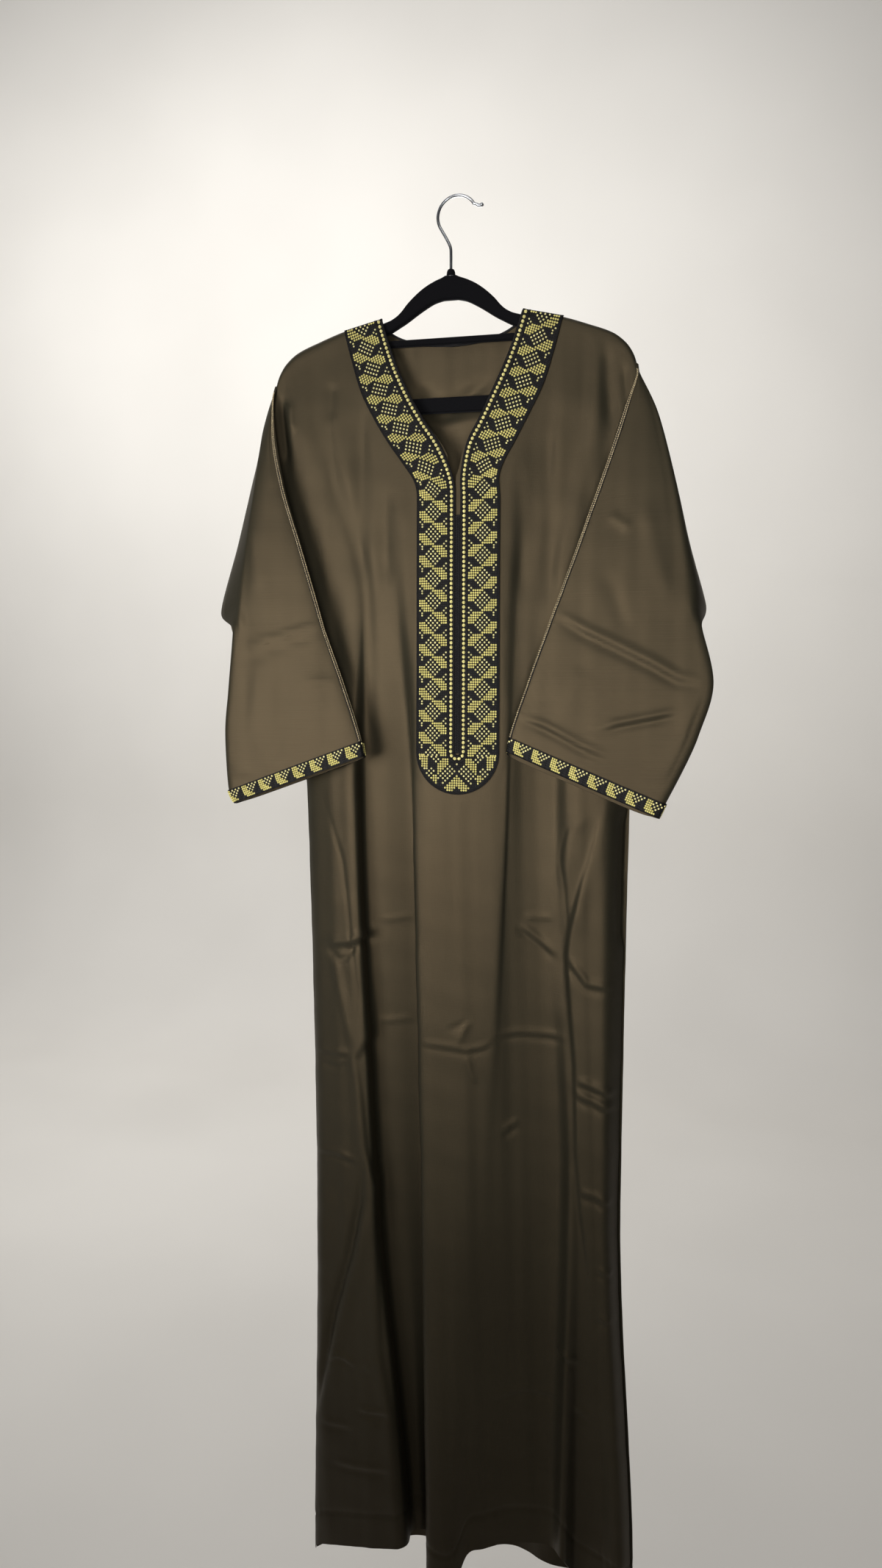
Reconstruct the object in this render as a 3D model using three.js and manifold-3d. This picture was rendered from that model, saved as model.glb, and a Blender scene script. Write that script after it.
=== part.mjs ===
// A thobe hanging on a velvet hanger.
//
// Millimetres, +Z up, the front of the robe faces -Y and +X is to the right of someone who looks
// at the front. "Left" and "right" are the onlooker's. The origin is the point under the crown of
// the hook, where a nail or a rail carries it. A depth is a distance in front of the plane of
// the hanger, so y = -depth.
import * as THREE from 'three';
import { mergeVertices } from 'three/addons/utils/BufferGeometryUtils.js';
import Module from 'manifold-3d';

const wasm = await Module();
wasm.setup();

// ---------------------------------------------------------------- driving dimensions
const GAP = 0.3;                 // between two pieces at a seam
const CLOTH = 1.6;               // thickness of the body and sleeve walls
const BAND = 1.4;                // thickness of the embroidered bands
const BAND_GAP = 1.1;            // between a band and the cloth that it lies on
const UNDERARM_Z = -436;         // height of the points of the armholes
const V_POINT_Z = -318;          // height of the foot of the V neck
const SLIT_END_Z = -595;         // foot of the front slit, centre of the placket's round end
const SLIT_HALF = 0.4;           // half the width of the slit, which hangs closed
const PLACKET_IN = 3;            // the placket's inner edge, from the centre line
const PLACKET_OUT = 46;          // the placket's outer edge, from the centre line
const PLACKET_TOP_Z = -322;      // where the neck bands end and the placket starts
const BEAD_AT = 7;               // centre of the bead row, from the centre line
const BEAD_HALF = 1.85;          // half the width of a bead
const BEAD_RISE = 2.2;           // thickness of the bead row
const BRAID = 2.4;               // thickness of the plaited closure
const PIPING_RISE = 1.4;         // thickness of the sleeve's piping
const POCKET_CLOTH = 1;          // thickness of a pocket bag's layer
const ARM_HALF = 5;              // half the thickness of the hanger
const WIRE_RADIUS = 1.6;         // of the hanger's hook

// The line down the middle of the neck opening, the slit and the front panel.
const CENTRE_LINE = [
  { z: -120, x: -3 },
  { z: -207, x: -1.5 },
  { z: -258, x: 2 },
  { z: -290, x: 6 },
  { z: -318, x: 8.5 },
  { z: -640, x: 11 },
  { z: -1100, x: 7 },
  { z: -1600, x: 8 },
];

// Edge of the V neck: how far it lies from the centre line at each height, and the outer edge of
// the band that is sewn along it.
const NECK = [
  { inner: 78, innerZ: -124, outer: 121, outerZ: -134 },
  { inner: 70, innerZ: -149, outer: 112, outerZ: -168 },
  { inner: 59.5, innerZ: -177, outer: 101, outerZ: -202 },
  { inner: 45.5, innerZ: -207, outer: 86, outerZ: -232 },
  { inner: 30, innerZ: -236, outer: 70, outerZ: -260 },
  { inner: 16.5, innerZ: -258, outer: 57, outerZ: -280 },
  { inner: 8, innerZ: -281, outer: 48.5, outerZ: -296 },
  { inner: 3.4, innerZ: -302, outer: 46, outerZ: -308 },
  { inner: 3, innerZ: -321.7, outer: 46, outerZ: -321.7 },
];

const BACK_NECK_DEPTH = 32;      // how far the neckline sags at the back

// The shoulder seam, by distance from the middle of the hanger.
const HANGER_X = -5;
const SHOULDER = [
  { out: 0, z: -119 },
  { out: 76, z: -122 },
  { out: 120, z: -132 },
  { out: 150, z: -142 },
  { out: 175, z: -152 },
  { out: 189, z: -163 },
  { out: 197, z: -175 },
  { out: 201, z: -187 },
  { out: 203, z: -200 },
];
const TIP_OUT = 203;
const TIP_Z = -200;
const ARMHOLE_CURVE = 1.12;      // over 1 hollows the armhole's edge

// Folds of the front, left to right: the height of its hem, where it runs (x) and how far forward
// it stands (depth) at the yoke, chest, waist, knee and hem.
const LEVELS = [-200, -440, -640, -1100, -1600];
const FRONT_FOLDS = [
  { name: 'side_left', hem: -1598, x: [-271, -270, -176, -169, -177], depth: [1.2, 1.2, 1.2, 1.2, 1.2] },
  { name: 'left_panel', hem: -1573, x: [-211, -190, -146, -132, -136], depth: [7, 10, 16, 20, 24] },
  { name: 'left_edge', hem: -1548, x: [-178, -120, -113, -93, -58], depth: [12, 23, 30, 33, 36] },
  { name: 'left_trough', hem: -1550, x: [-156, -99, -94, -82, -48], depth: [9, 8, 6, 4, 5] },
  { name: 'left_strip', hem: -1548, x: [-136, -82, -72, -58, -39], depth: [13, 23, 20, 11, 8] },
  { name: 'left_crease', hem: -1560, x: [-112, -62, -50, -37, -30], depth: [10, 16, 17, 14, 16] },
  { name: 'centre_left', hem: -1573, x: [-72, -38, -36, -28, -22], depth: [14, 27, 33, 40, 44] },
  { name: 'centre', hem: -1578, x: [-1, 9, 11, 7, 8], depth: [17, 29, 36, 43, 47] },
  { name: 'centre_right', hem: -1547, x: [70, 56, 58.5, 37, 25], depth: [14, 28, 32, 37, 40] },
  { name: 'right_trough', hem: -1548, x: [104, 74, 67, 48, 36], depth: [10, 11, 13, 13, 10] },
  { name: 'right_strip', hem: -1527, x: [122, 90, 80, 78, 72], depth: [13, 21, 24, 24, 24] },
  { name: 'right_dip', hem: -1521, x: [140, 104, 92, 104, 106], depth: [10, 15, 9, 19, 26] },
  { name: 'right_edge', hem: -1531, x: [156, 122, 116, 138, 134], depth: [12, 25, 27, 28, 29] },
  { name: 'right_gap', hem: -1566, x: [172, 152, 132, 150, 164], depth: [8, 11, 24, 20, 5] },
  { name: 'right_fold', hem: -1578, x: [188, 182, 148, 160, 194], depth: [10, 13, 27, 27, 20] },
  { name: 'right_panel', hem: -1584, x: [203, 222, 168, 174, 204], depth: [8, 10, 20, 20, 14] },
  { name: 'side_right', hem: -1588, x: [264, 262, 193, 190, 212], depth: [1.2, 1.2, 1.2, 1.2, 1.2] },
];
const CENTRE_FOLD = 7;
const BACK_FOLDS = [
  { name: 'side_left', hem: -1598, x: [-271, -270, -176, -169, -177], depth: [-1.2, -1.2, -1.2, -1.2, -1.2] },
  { name: 'left_ridge', hem: -1588, x: [-211, -205, -142, -132, -138], depth: [-8, -14, -17, -20, -23] },
  { name: 'left_dip', hem: -1583, x: [-150, -142, -102, -96, -96], depth: [-10, -9, -9, -9, -9] },
  { name: 'inner_left_ridge', hem: -1578, x: [-76, -80, -57, -53, -50], depth: [-11, -18, -22, -24, -27] },
  { name: 'middle_dip', hem: -1576, x: [-2, -8, 2, 4, 8], depth: [-10, -11, -10, -10, -9] },
  { name: 'inner_right_ridge', hem: -1574, x: [72, 72, 60, 60, 66], depth: [-11, -19, -22, -24, -28] },
  { name: 'right_dip', hem: -1578, x: [142, 134, 106, 104, 118], depth: [-9, -9, -9, -9, -9] },
  { name: 'right_ridge', hem: -1582, x: [203, 202, 152, 148, 165], depth: [-8, -14, -17, -20, -23] },
  { name: 'side_right', hem: -1588, x: [264, 262, 193, 190, 212], depth: [-1.2, -1.2, -1.2, -1.2, -1.2] },
];

// Sleeves, from the shoulder to the cuff, each point as [x, z, depth]. Each sleeve is swung forward
// over the body, so its piped over-arm seam (over) lies inward and its underarm side (under)
// outward. half is half the space between its two layers. The first rows meet the armhole at the
// height armhole, and in the rest the two long edges meet each other on the underarm side, where
// open is half the gap between them if it is wider than elsewhere.
const SLEEVE_LEFT = [
  { over: [-206, -201, 14], under: [-212, -202, 11], armhole: -202, half: 2.4 },
  { over: [-198, -252, 29], under: [-217, -242, 20], armhole: -250, half: 4 },
  { over: [-186, -305, 35], under: [-225, -300, 29], armhole: -303, half: 5 },
  { over: [-168, -362, 39], under: [-235, -362, 34], armhole: -362, half: 5.5 },
  { over: [-148, -428, 42], under: [-245, -430, 38], armhole: -440, half: 6 },
  { over: [-140, -455, 43], under: [-248, -462, 39], half: 6, open: 1.3 },
  { over: [-120, -512, 45], under: [-254, -530, 41], half: 6.5 },
  { over: [-109, -545, 46], under: [-258, -578, 42], half: 7 },
  { over: [-97, -584, 47], under: [-257, -637, 43], half: 7 },
  { over: [-94, -600, 47], under: [-247, -656, 43], half: 7 },
];
const SLEEVE_RIGHT = [
  { over: [197, -198, 14], under: [203, -200, 11], armhole: -202, half: 2.4 },
  { over: [184, -240, 26], under: [219, -238, 20], armhole: -250, half: 4 },
  { over: [168, -296, 34], under: [236, -296, 28], armhole: -303, half: 5 },
  { over: [148, -358, 38], under: [251, -361, 33], armhole: -362, half: 5.5 },
  { over: [123, -432, 42], under: [264, -430, 37], armhole: -440, half: 6 },
  { over: [114, -458, 43], under: [269, -460, 38], half: 6, open: 1.3 },
  { over: [95, -514, 45], under: [282, -518, 41], half: 6.5 },
  { over: [84, -546, 46], under: [268, -572, 42], half: 7 },
  { over: [74, -578, 47], under: [242, -630, 43], half: 7 },
  { over: [71, -592, 47], under: [229, -658, 43], half: 7 },
];
const CUFF_ROW = 8;              // the row on which the cuff's band starts

// The hanger's moulding, by distance from its middle: its top edge from the hub to the end of
// the arm, and its lower edge back to the crown of the arch.
const HANGER_TOP = [
  [6, -81], [10, -83], [18, -86], [28, -91], [38, -98], [48, -107], [56, -116], [64, -122],
  [76, -126.5], [120, -137.5], [150, -147.5], [172, -157.5], [183, -166], [190, -178], [192, -196],
  [190, -214], [186, -226],
];
const HANGER_UNDER = [
  [179, -226], [179, -207], [180, -190], [172, -177], [150, -164], [120, -153], [90, -144],
  [70, -138], [56, -131], [48, -126.5], [38, -120], [28, -114], [18, -109], [8, -106.5],
];
const HUB_Z = -81;
const UPPER_BAR = { end: 93.5, top: -145.5, bottom: -152.5, half: 3.5 };
const LOWER_BAR = { end: 179, top: -209, bottom: -225, half: 4.5 };
const HOOK = { centreX: 2, radius: 21.6, tipAngle: 32, shankAngle: 212, shankX: -6 };
const HOOK_TIP = [[30.5, -9.5], [26.5, -10.8], [23, -9.3]];

// ---------------------------------------------------------------- materials
const MATERIALS = {
  cloth: new THREE.MeshStandardMaterial({ color: 0x504634, roughness: 0.55, metalness: 0 }),
  embroidery: new THREE.MeshStandardMaterial({ color: 0xb7ac62, roughness: 0.6, metalness: 0 }),
  beads: new THREE.MeshStandardMaterial({ color: 0xd8cc84, roughness: 0.35, metalness: 0.2 }),
  braid: new THREE.MeshStandardMaterial({ color: 0x232124, roughness: 0.8, metalness: 0 }),
  piping: new THREE.MeshStandardMaterial({ color: 0x8a7446, roughness: 0.5, metalness: 0.2 }),
  velvet: new THREE.MeshStandardMaterial({ color: 0x0b0b0d, roughness: 0.95, metalness: 0 }),
  chrome: new THREE.MeshStandardMaterial({ color: 0xb9bcc0, roughness: 0.15, metalness: 1 }),
};

// ---------------------------------------------------------------- interpolation
const clamp = (value, low, high) => Math.min(high, Math.max(low, value));
const lerp = (a, b, t) => a + (b - a) * t;

function smooth(t) {
  const s = clamp(t, 0, 1);
  return s * s * (3 - 2 * s);
}

// A curve through (knots[i], values[i]) that never swings past them.
function monotone(knots, values, at) {
  const rising = knots[knots.length - 1] > knots[0];
  const k = rising ? knots : [...knots].reverse();
  const v = rising ? values : [...values].reverse();
  const last = k.length - 1;
  if (at <= k[0]) return v[0];
  if (at >= k[last]) return v[last];
  let i = 0;
  while (at > k[i + 1]) i += 1;
  const rate = (j) => (v[j + 1] - v[j]) / (k[j + 1] - k[j]);
  const slope = (j) => {
    if (j === 0 || j === last) return 0;
    const [before, after] = [rate(j - 1), rate(j)];
    return before * after <= 0 ? 0 : (2 * before * after) / (before + after);
  };
  const width = k[i + 1] - k[i];
  const t = (at - k[i]) / width;
  const lift = slope(i) * width * t * (1 - t) ** 2 - slope(i + 1) * width * t * t * (1 - t);
  return lerp(v[i], v[i + 1], smooth(t)) + lift;
}

// A smooth curve through evenly spaced values; at runs from 0 to values.length - 1.
function through(values, at) {
  const last = values.length - 1;
  const i = clamp(Math.floor(at), 0, last - 1);
  const t = at - i;
  const a = values[Math.max(i - 1, 0)];
  const b = values[i];
  const c = values[i + 1];
  const d = values[Math.min(i + 2, last)];
  return b + 0.5 * t * (c - a + t * (2 * a - 5 * b + 4 * c - d + t * (3 * (b - c) + d - a)));
}

const column = (rows, name) => rows.map((row) => row[name]);
const centreX = (z) => monotone(column(CENTRE_LINE, 'z'), column(CENTRE_LINE, 'x'), z);
const neckHalf = (z) => monotone(column(NECK, 'innerZ'), column(NECK, 'inner'), z);

// Half the width of the cut neck opening, which closes to the slit under the bands' last stretch.
function neckEdge(z) {
  const half = neckHalf(z);
  return half - PLACKET_IN * smooth((30 - half) / (30 - PLACKET_IN));
}

const neckOuter = (z) => monotone(column(NECK, 'outerZ'), column(NECK, 'outer'), z);

// ---------------------------------------------------------------- the robe's body
function shoulderZ(x) {
  return monotone(column(SHOULDER, 'out'), column(SHOULDER, 'z'), Math.abs(x - HANGER_X));
}

const sideSeam = (side) => (side < 0 ? FRONT_FOLDS[0] : FRONT_FOLDS[FRONT_FOLDS.length - 1]);

function armholeZ(x) {
  const tip = HANGER_X + Math.sign(x) * TIP_OUT;
  const part = clamp((x - tip) / (sideSeam(x).x[0] - tip), 0, 1);
  return lerp(TIP_Z, UNDERARM_Z, part ** (1 / ARMHOLE_CURVE));
}

function armholeX(side, z) {
  const part = Math.max(0, (z - TIP_Z) / (UNDERARM_Z - TIP_Z));
  return lerp(HANGER_X + side * TIP_OUT, sideSeam(side).x[0], part ** ARMHOLE_CURVE);
}

const backNeckZ = (x) => {
  const across = (x - HANGER_X) / NECK[0].inner;
  return across ** 2 >= 1 ? 0 : NECK[0].innerZ - BACK_NECK_DEPTH * Math.sqrt(1 - across ** 2);
};

// Whether a point of the front or of the back lies on its cloth, below the top edges.
function onCloth(x, z, isFront) {
  if (Math.abs(x - HANGER_X) > TIP_OUT) return z <= armholeZ(x);
  if (z > shoulderZ(x)) return false;
  if (!isFront) return z <= backNeckZ(x) || Math.abs(x - HANGER_X) > NECK[0].inner;
  return z < V_POINT_Z || Math.abs(x - centreX(z)) >= neckEdge(z);
}

// How the cloth rounds over the hanger: 0 on the shoulder seam, 1 from ROUND_DROP below it.
const ROUND_DROP = 8;
const OVER_ARM = ARM_HALF + CLOTH / 2 + 1;
const SEAM_DEPTH = CLOTH / 2 + GAP / 2;

function drape(depth, x, z) {
  const drop = shoulderZ(x) - z;
  const turn = clamp(drop / ROUND_DROP, 0, 1);
  const over = lerp(SEAM_DEPTH, OVER_ARM, Math.sqrt(1 - (1 - turn) ** 2));
  const pastArm = Math.abs(x - HANGER_X) > TIP_OUT - 7;
  const full = Math.abs(depth);
  const eased = lerp(Math.min(over, full), full, smooth((drop - ROUND_DROP) / 90));
  return Math.sign(depth) * (pastArm ? Math.min(full, eased) : eased);
}

// A point of the front or the back: u counts folds from the left side seam.
function bodyPoint(folds, u, z) {
  const level = (values) => monotone(LEVELS, values, z);
  const x = through(folds.map((fold) => level(fold.x)), u);
  const depth = through(folds.map((fold) => level(fold.depth)), u);
  return new THREE.Vector3(x, -drape(depth, x, z), z);
}

// The fold position of the cloth's point at x and z.
function foldAt(folds, x, z) {
  let low = 0;
  let high = folds.length - 1;
  for (let step = 0; step < 30; step += 1) {
    const u = (low + high) / 2;
    if (bodyPoint(folds, u, z).x < x) low = u;
    else high = u;
  }
  return low;
}

function topOf(folds, u) {
  let high = -100;
  let low = -500;
  for (let step = 0; step < 30; step += 1) {
    const z = (high + low) / 2;
    if (onCloth(bodyPoint(folds, u, z).x, z, folds === FRONT_FOLDS)) low = z;
    else high = z;
  }
  return low;
}

// Rows of the body's grid: a few close below the top edge, where it rounds over the hanger, and
// the rest spread down to the hem.
const TOP_ROWS = [0, 2.5, 8, 22, 50];
function rowHeight(top, hem, row, rows) {
  if (row < TOP_ROWS.length) return top - TOP_ROWS[row];
  const start = top - TOP_ROWS[TOP_ROWS.length - 1];
  const t = (row - TOP_ROWS.length + 1) / (rows - TOP_ROWS.length + 1);
  return lerp(start, hem, t ** 1.15);
}

function bodyGrid(folds, positions, rows) {
  return positions.map((u) => {
    const [top, hem] = [topOf(folds, u), through(column(folds, 'hem'), u)];
    const heights = Array.from({ length: rows + 1 }, (_, row) => rowHeight(top, hem, row, rows));
    return heights.map((z) => bodyPoint(folds, u, z));
  });
}

// ---------------------------------------------------------------- walls
function gridNormals(grid) {
  return grid.map((line, i) => line.map((point, j) => {
    const across = grid[Math.min(i + 1, grid.length - 1)][j].clone();
    across.sub(grid[Math.max(i - 1, 0)][j]);
    const down = line[Math.min(j + 1, line.length - 1)].clone();
    down.sub(line[Math.max(j - 1, 0)]);
    return down.cross(across).normalize();
  }));
}

function offset(grid, distance) {
  const normals = gridNormals(grid);
  return grid.map((line, i) => line.map((p, j) => p.clone().addScaledVector(normals[i][j], distance)));
}

// A closed geometry from triangles that are lists of three points. Those with no area are left out.
function closed(all) {
  const area = ([a, b, c]) => new THREE.Triangle(a, b, c).getArea();
  const triangles = all.filter((triangle) => area(triangle) > 1e-6);
  const corners = triangles.flat();
  const volume = triangles.reduce((sum, [a, b, c]) => sum + a.dot(b.clone().cross(c)), 0);
  const ordered = volume > 0 ? corners : corners.reverse();
  const geometry = new THREE.BufferGeometry().setFromPoints(ordered);
  return mergeVertices(geometry, 1e-4);
}

// A wall between two grids of points, made of the cells that keep(i, j) holds.
function wallBetween(outer, inner, keep = () => true) {
  const [columns, rows] = [outer.length - 1, outer[0].length - 1];
  const kept = (i, j) => i >= 0 && j >= 0 && i < columns && j < rows && keep(i, j);
  const triangles = [];
  const quad = (a, b, c, d) => triangles.push([a, b, c], [a, c, d]);
  const rim = (i, j, k, l) => quad(outer[i][j], outer[k][l], inner[k][l], inner[i][j]);
  for (let i = 0; i < columns; i += 1) {
    for (let j = 0; j < rows; j += 1) {
      if (!kept(i, j)) continue;
      quad(outer[i][j], outer[i][j + 1], outer[i + 1][j + 1], outer[i + 1][j]);
      quad(inner[i][j], inner[i + 1][j], inner[i + 1][j + 1], inner[i][j + 1]);
      if (!kept(i - 1, j)) rim(i, j + 1, i, j);
      if (!kept(i + 1, j)) rim(i + 1, j, i + 1, j + 1);
      if (!kept(i, j - 1)) rim(i, j, i + 1, j);
      if (!kept(i, j + 1)) rim(i + 1, j + 1, i, j + 1);
    }
  }
  return closed(triangles);
}

const wall = (grid, thickness, keep) => (
  wallBetween(offset(grid, thickness / 2), offset(grid, -thickness / 2), keep)
);

function steps(from, to, count) {
  return Array.from({ length: count + 1 }, (_, i) => lerp(from, to, i / count));
}

// ---------------------------------------------------------------- front and back
const PER_FOLD = 3;

// The panel's lines from u = from to u = to, with four more by the corner of the neck, where
// the top edge turns from the shoulder seam into the neckline, at neckX(z, side).
function linesAcross(folds, from, to, neckX) {
  const side = Math.sign((from + to) / 2 - (folds.length - 1) / 2) || 1;
  const corner = [0, 3, 8, 18].map((drop) => {
    const z = NECK[0].innerZ + 1.5 - drop;
    return foldAt(folds, neckX(z, side), z);
  });
  const regular = steps(from, to, Math.round((to - from) * PER_FOLD));
  const near = (u) => corner.some((other) => Math.abs(u - other) < 0.5 / PER_FOLD);
  const kept = regular.filter((u, i) => i === 0 || i === regular.length - 1 || !near(u));
  return [...kept, ...corner].sort((a, b) => a - b);
}

function frontPanel() {
  const edge = (z, side) => centreX(z) + side * neckEdge(z);
  const left = linesAcross(FRONT_FOLDS, 0, CENTRE_FOLD, edge);
  const right = linesAcross(FRONT_FOLDS, CENTRE_FOLD, FRONT_FOLDS.length - 1, edge);
  const rows = 14;
  const grid = bodyGrid(FRONT_FOLDS, [...left, ...right], rows);
  const slit = left.length - 1;
  let open = 0;
  grid[slit].forEach((point, row) => {
    if (point.z < SLIT_END_Z) return;
    open = row;
    point.x -= SLIT_HALF;
    grid[slit + 1][row].x += SLIT_HALF;
  });
  // Below the slit the two middle lines are one, and the cells between them have no area.
  for (let row = open + 1; row <= rows; row += 1) grid[slit + 1][row] = grid[slit][row];
  return slitWall(grid, slit, open);
}

// The front's wall, whose two halves part at the slit and share one line of points below it.
function slitWall(grid, slit, open) {
  const half = (lines) => [offset(lines, CLOTH / 2), offset(lines, -CLOTH / 2)];
  const [outerLeft, innerLeft] = half(grid.slice(0, slit + 1));
  const [outerRight, innerRight] = half(grid.slice(slit + 1));
  for (let row = open + 1; row < grid[0].length; row += 1) {
    outerRight[0][row].copy(outerLeft[slit][row]);
    innerRight[0][row].copy(innerLeft[slit][row]);
  }
  const outer = [...outerLeft, ...outerRight];
  const inner = [...innerLeft, ...innerRight];
  return wallBetween(outer, inner, (i, j) => i !== slit || j >= open);
}

function backPanel() {
  const middle = (BACK_FOLDS.length - 1) / 2;
  const edge = (z, side) => {
    const depth = clamp((NECK[0].innerZ - z) / BACK_NECK_DEPTH, 0, 1);
    return HANGER_X + side * NECK[0].inner * Math.sqrt(1 - depth ** 2);
  };
  const left = linesAcross(BACK_FOLDS, 0, middle, edge);
  const right = linesAcross(BACK_FOLDS, middle, BACK_FOLDS.length - 1, edge);
  return wall(bodyGrid(BACK_FOLDS, [...left, ...right.slice(1)], 12), CLOTH);
}

// ---------------------------------------------------------------- what lies on the front
function onFront(x, z, lift) {
  const u = foldAt(FRONT_FOLDS, x, z);
  const point = bodyPoint(FRONT_FOLDS, u, z);
  const across = bodyPoint(FRONT_FOLDS, u + 0.02, z).sub(bodyPoint(FRONT_FOLDS, u - 0.02, z));
  const down = bodyPoint(FRONT_FOLDS, u, z - 0.5).sub(bodyPoint(FRONT_FOLDS, u, z + 0.5));
  return point.addScaledVector(down.cross(across).normalize(), lift);
}

const bandPart = (w) => (w - PLACKET_IN) / (PLACKET_OUT - PLACKET_IN);

// The neck band's lines across, from the shoulder to the top of the placket. The first ones
// follow the shoulder seam, and the others run square to the neck's edge.
function neckLines(side, widths) {
  const shoulder = [0.6, 2.5, 8, 15].map((drop) => widths.map((w) => {
    const seam = shoulderZ(HANGER_X + side * 100) - drop;
    const x = centreX(seam) + side * lerp(neckHalf(seam), neckOuter(seam), bandPart(w));
    return [x, shoulderZ(x) - drop];
  }));
  const rest = NECK.slice(1).map((row) => widths.map((w) => {
    const z = lerp(row.innerZ, row.outerZ, bandPart(w));
    return [centreX(z) + side * lerp(row.inner, row.outer, bandPart(w)), z];
  }));
  return [...shoulder, ...rest];
}

// The placket's lines across: down one leg, and half way round its round end.
function placketLines(side, widths) {
  const leg = steps(PLACKET_TOP_Z, SLIT_END_Z, 7).map((z) => (
    widths.map((w) => [centreX(z) + side * w, z])
  ));
  const turn = steps(0, Math.PI / 2, 6).slice(1).map((angle) => widths.map((w) => {
    const z = SLIT_END_Z - w * Math.sin(angle);
    return [centreX(SLIT_END_Z) + side * w * Math.cos(angle), z];
  }));
  return [...leg, ...turn];
}

function layOnFront(lines, thickness, gap) {
  const lift = CLOTH / 2 + gap + thickness / 2;
  return wall(lines.map((line) => line.map(([x, z]) => onFront(x, z, lift))), thickness);
}

const BAND_WIDTHS = [PLACKET_IN, 14, 25, 36, PLACKET_OUT];
const neckBand = (side) => layOnFront(neckLines(side, BAND_WIDTHS), BAND, BAND_GAP);

function placketBand() {
  const left = placketLines(-1, BAND_WIDTHS);
  const right = placketLines(1, BAND_WIDTHS).reverse().slice(1);
  return layOnFront([...left, ...right], BAND, BAND_GAP);
}

function beadTrim(side) {
  const widths = [BEAD_AT - BEAD_HALF, BEAD_AT + BEAD_HALF];
  const lines = [...neckLines(side, widths).slice(0, -1), ...placketLines(side, widths)];
  const foot = lines[lines.length - 1];
  foot.forEach((point) => {
    point[0] += side * GAP / 2;
  });
  return layOnFront(lines, BEAD_RISE, BAND_GAP + BAND + GAP);
}

function frontClosure() {
  const half = PLACKET_IN - 0.5;
  const lines = steps(V_POINT_Z - 1, SLIT_END_Z + 1, 8).map((z) => (
    [centreX(z) - half, centreX(z) + half].map((x) => [x, z])
  ));
  return layOnFront(lines, BRAID, BAND_GAP);
}

// ---------------------------------------------------------------- pockets
// Each pocket bag hangs inside the front from the side seam, and is stitched to it all round. Its
// reach is counted in folds from the seam.
const POCKET = [
  { z: -658, left: 0.8, right: 1.6 },
  { z: -668, left: 1, right: 2.4 },
  { z: -687, left: 1.25, right: 3.1 },
  { z: -720, left: 1.5, right: 3.55 },
  { z: -800, left: 1.82, right: 3.5 },
  { z: -900, left: 1.95, right: 3.4 },
  { z: -935, left: 1.8, right: 2.6 },
  { z: -950, left: 1, right: 1.4 },
];
const POCKET_START = 0.35;       // from the side seam to the bag, in folds
const POCKET_GAP = 4;            // between the bag and the front
const POCKET_SEAM_GAP = 0.7;     // the same at the side seam, where the bag is sewn in

function pocketBag(name) {
  const seam = name === 'left' ? 0 : FRONT_FOLDS.length - 1;
  const inward = name === 'left' ? 1 : -1;
  const grid = POCKET.map((row) => steps(POCKET_START, row[name], 7).map((reach) => (
    bodyPoint(FRONT_FOLDS, seam + inward * reach, row.z)
  )));
  const [sewn, hanging] = [POCKET_SEAM_GAP, POCKET_GAP].map((gap) => (
    offset(grid, inward * (CLOTH / 2 + gap + POCKET_CLOTH / 2))
  ));
  return wall(hanging.map((row, i) => [sewn[i][0], ...row.slice(1)]), POCKET_CLOTH);
}

// ---------------------------------------------------------------- sleeves
// The thirteen points that a sleeve's section runs through, from its back edge, round the outer
// fold, over the face, round the piped seam and behind to its front edge.
const OVER_KNOT = 6;
const EDGE_REACH = 8;            // from the piped fold to the last point on the face
const ARMHOLE_GAP = 1.6;         // from the body's armhole edge to the sleeve's

// How far forward the front's or the back's cloth stands where it meets the sleeve.
function edgeDepth(folds, side, z) {
  const x = armholeX(side, z);
  return -bodyPoint(folds, foldAt(folds, x, z), z).y;
}

function sleeveSection({ over, under, armhole, half, open = GAP }, side) {
  const at = (part, lift) => [
    lerp(under[0], over[0], part),
    lerp(under[1], over[1], part),
    lerp(under[2], over[2], part) + lift,
  ];
  const inset = 1 - Math.min(0.35, EDGE_REACH / Math.hypot(over[0] - under[0], over[1] - under[1]));
  const face = [at(0.14, half), at(0.5, half * 1.2), at(inset, half * 0.8), at(1, 0)];
  const behind = [at(inset, -half * 0.8), at(0.5, -half), at(0.16, -half)];
  if (armhole === undefined) {
    const turn = [at(0, open), at(0, half * 0.5), at(0.035, half * 0.9)];
    const back = [at(0.035, -half * 0.9), at(0, -half * 0.5), at(0, -open)];
    return [...turn, ...face, ...behind, ...back];
  }
  const x = armholeX(side, armhole) + side * ARMHOLE_GAP;
  const [front, rear] = [FRONT_FOLDS, BACK_FOLDS].map((folds) => edgeDepth(folds, side, armhole));
  const turn = [[x, armhole, rear], [x + side * 6.4, armhole, 3], under];
  const back = [at(0.1, -half), [x, armhole, front + 5], [x, armhole, front]];
  return [...turn, ...face, ...behind, ...back];
}

// A sleeve's middle surface as a function of t, its row, and v, its place in the section.
function sleeveSurface(rows, side) {
  const sections = rows.map((row) => sleeveSection(row, side));
  const knots = sections.map((_, i) => i);
  return (t, v) => {
    const section = sections[0].map((_, k) => (
      [0, 1, 2].map((axis) => monotone(knots, column(sections, k).map((p) => p[axis]), t))
    ));
    const [x, z, depth] = [0, 1, 2].map((axis) => through(column(section, axis), v));
    return new THREE.Vector3(x, -depth, z);
  };
}

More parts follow.
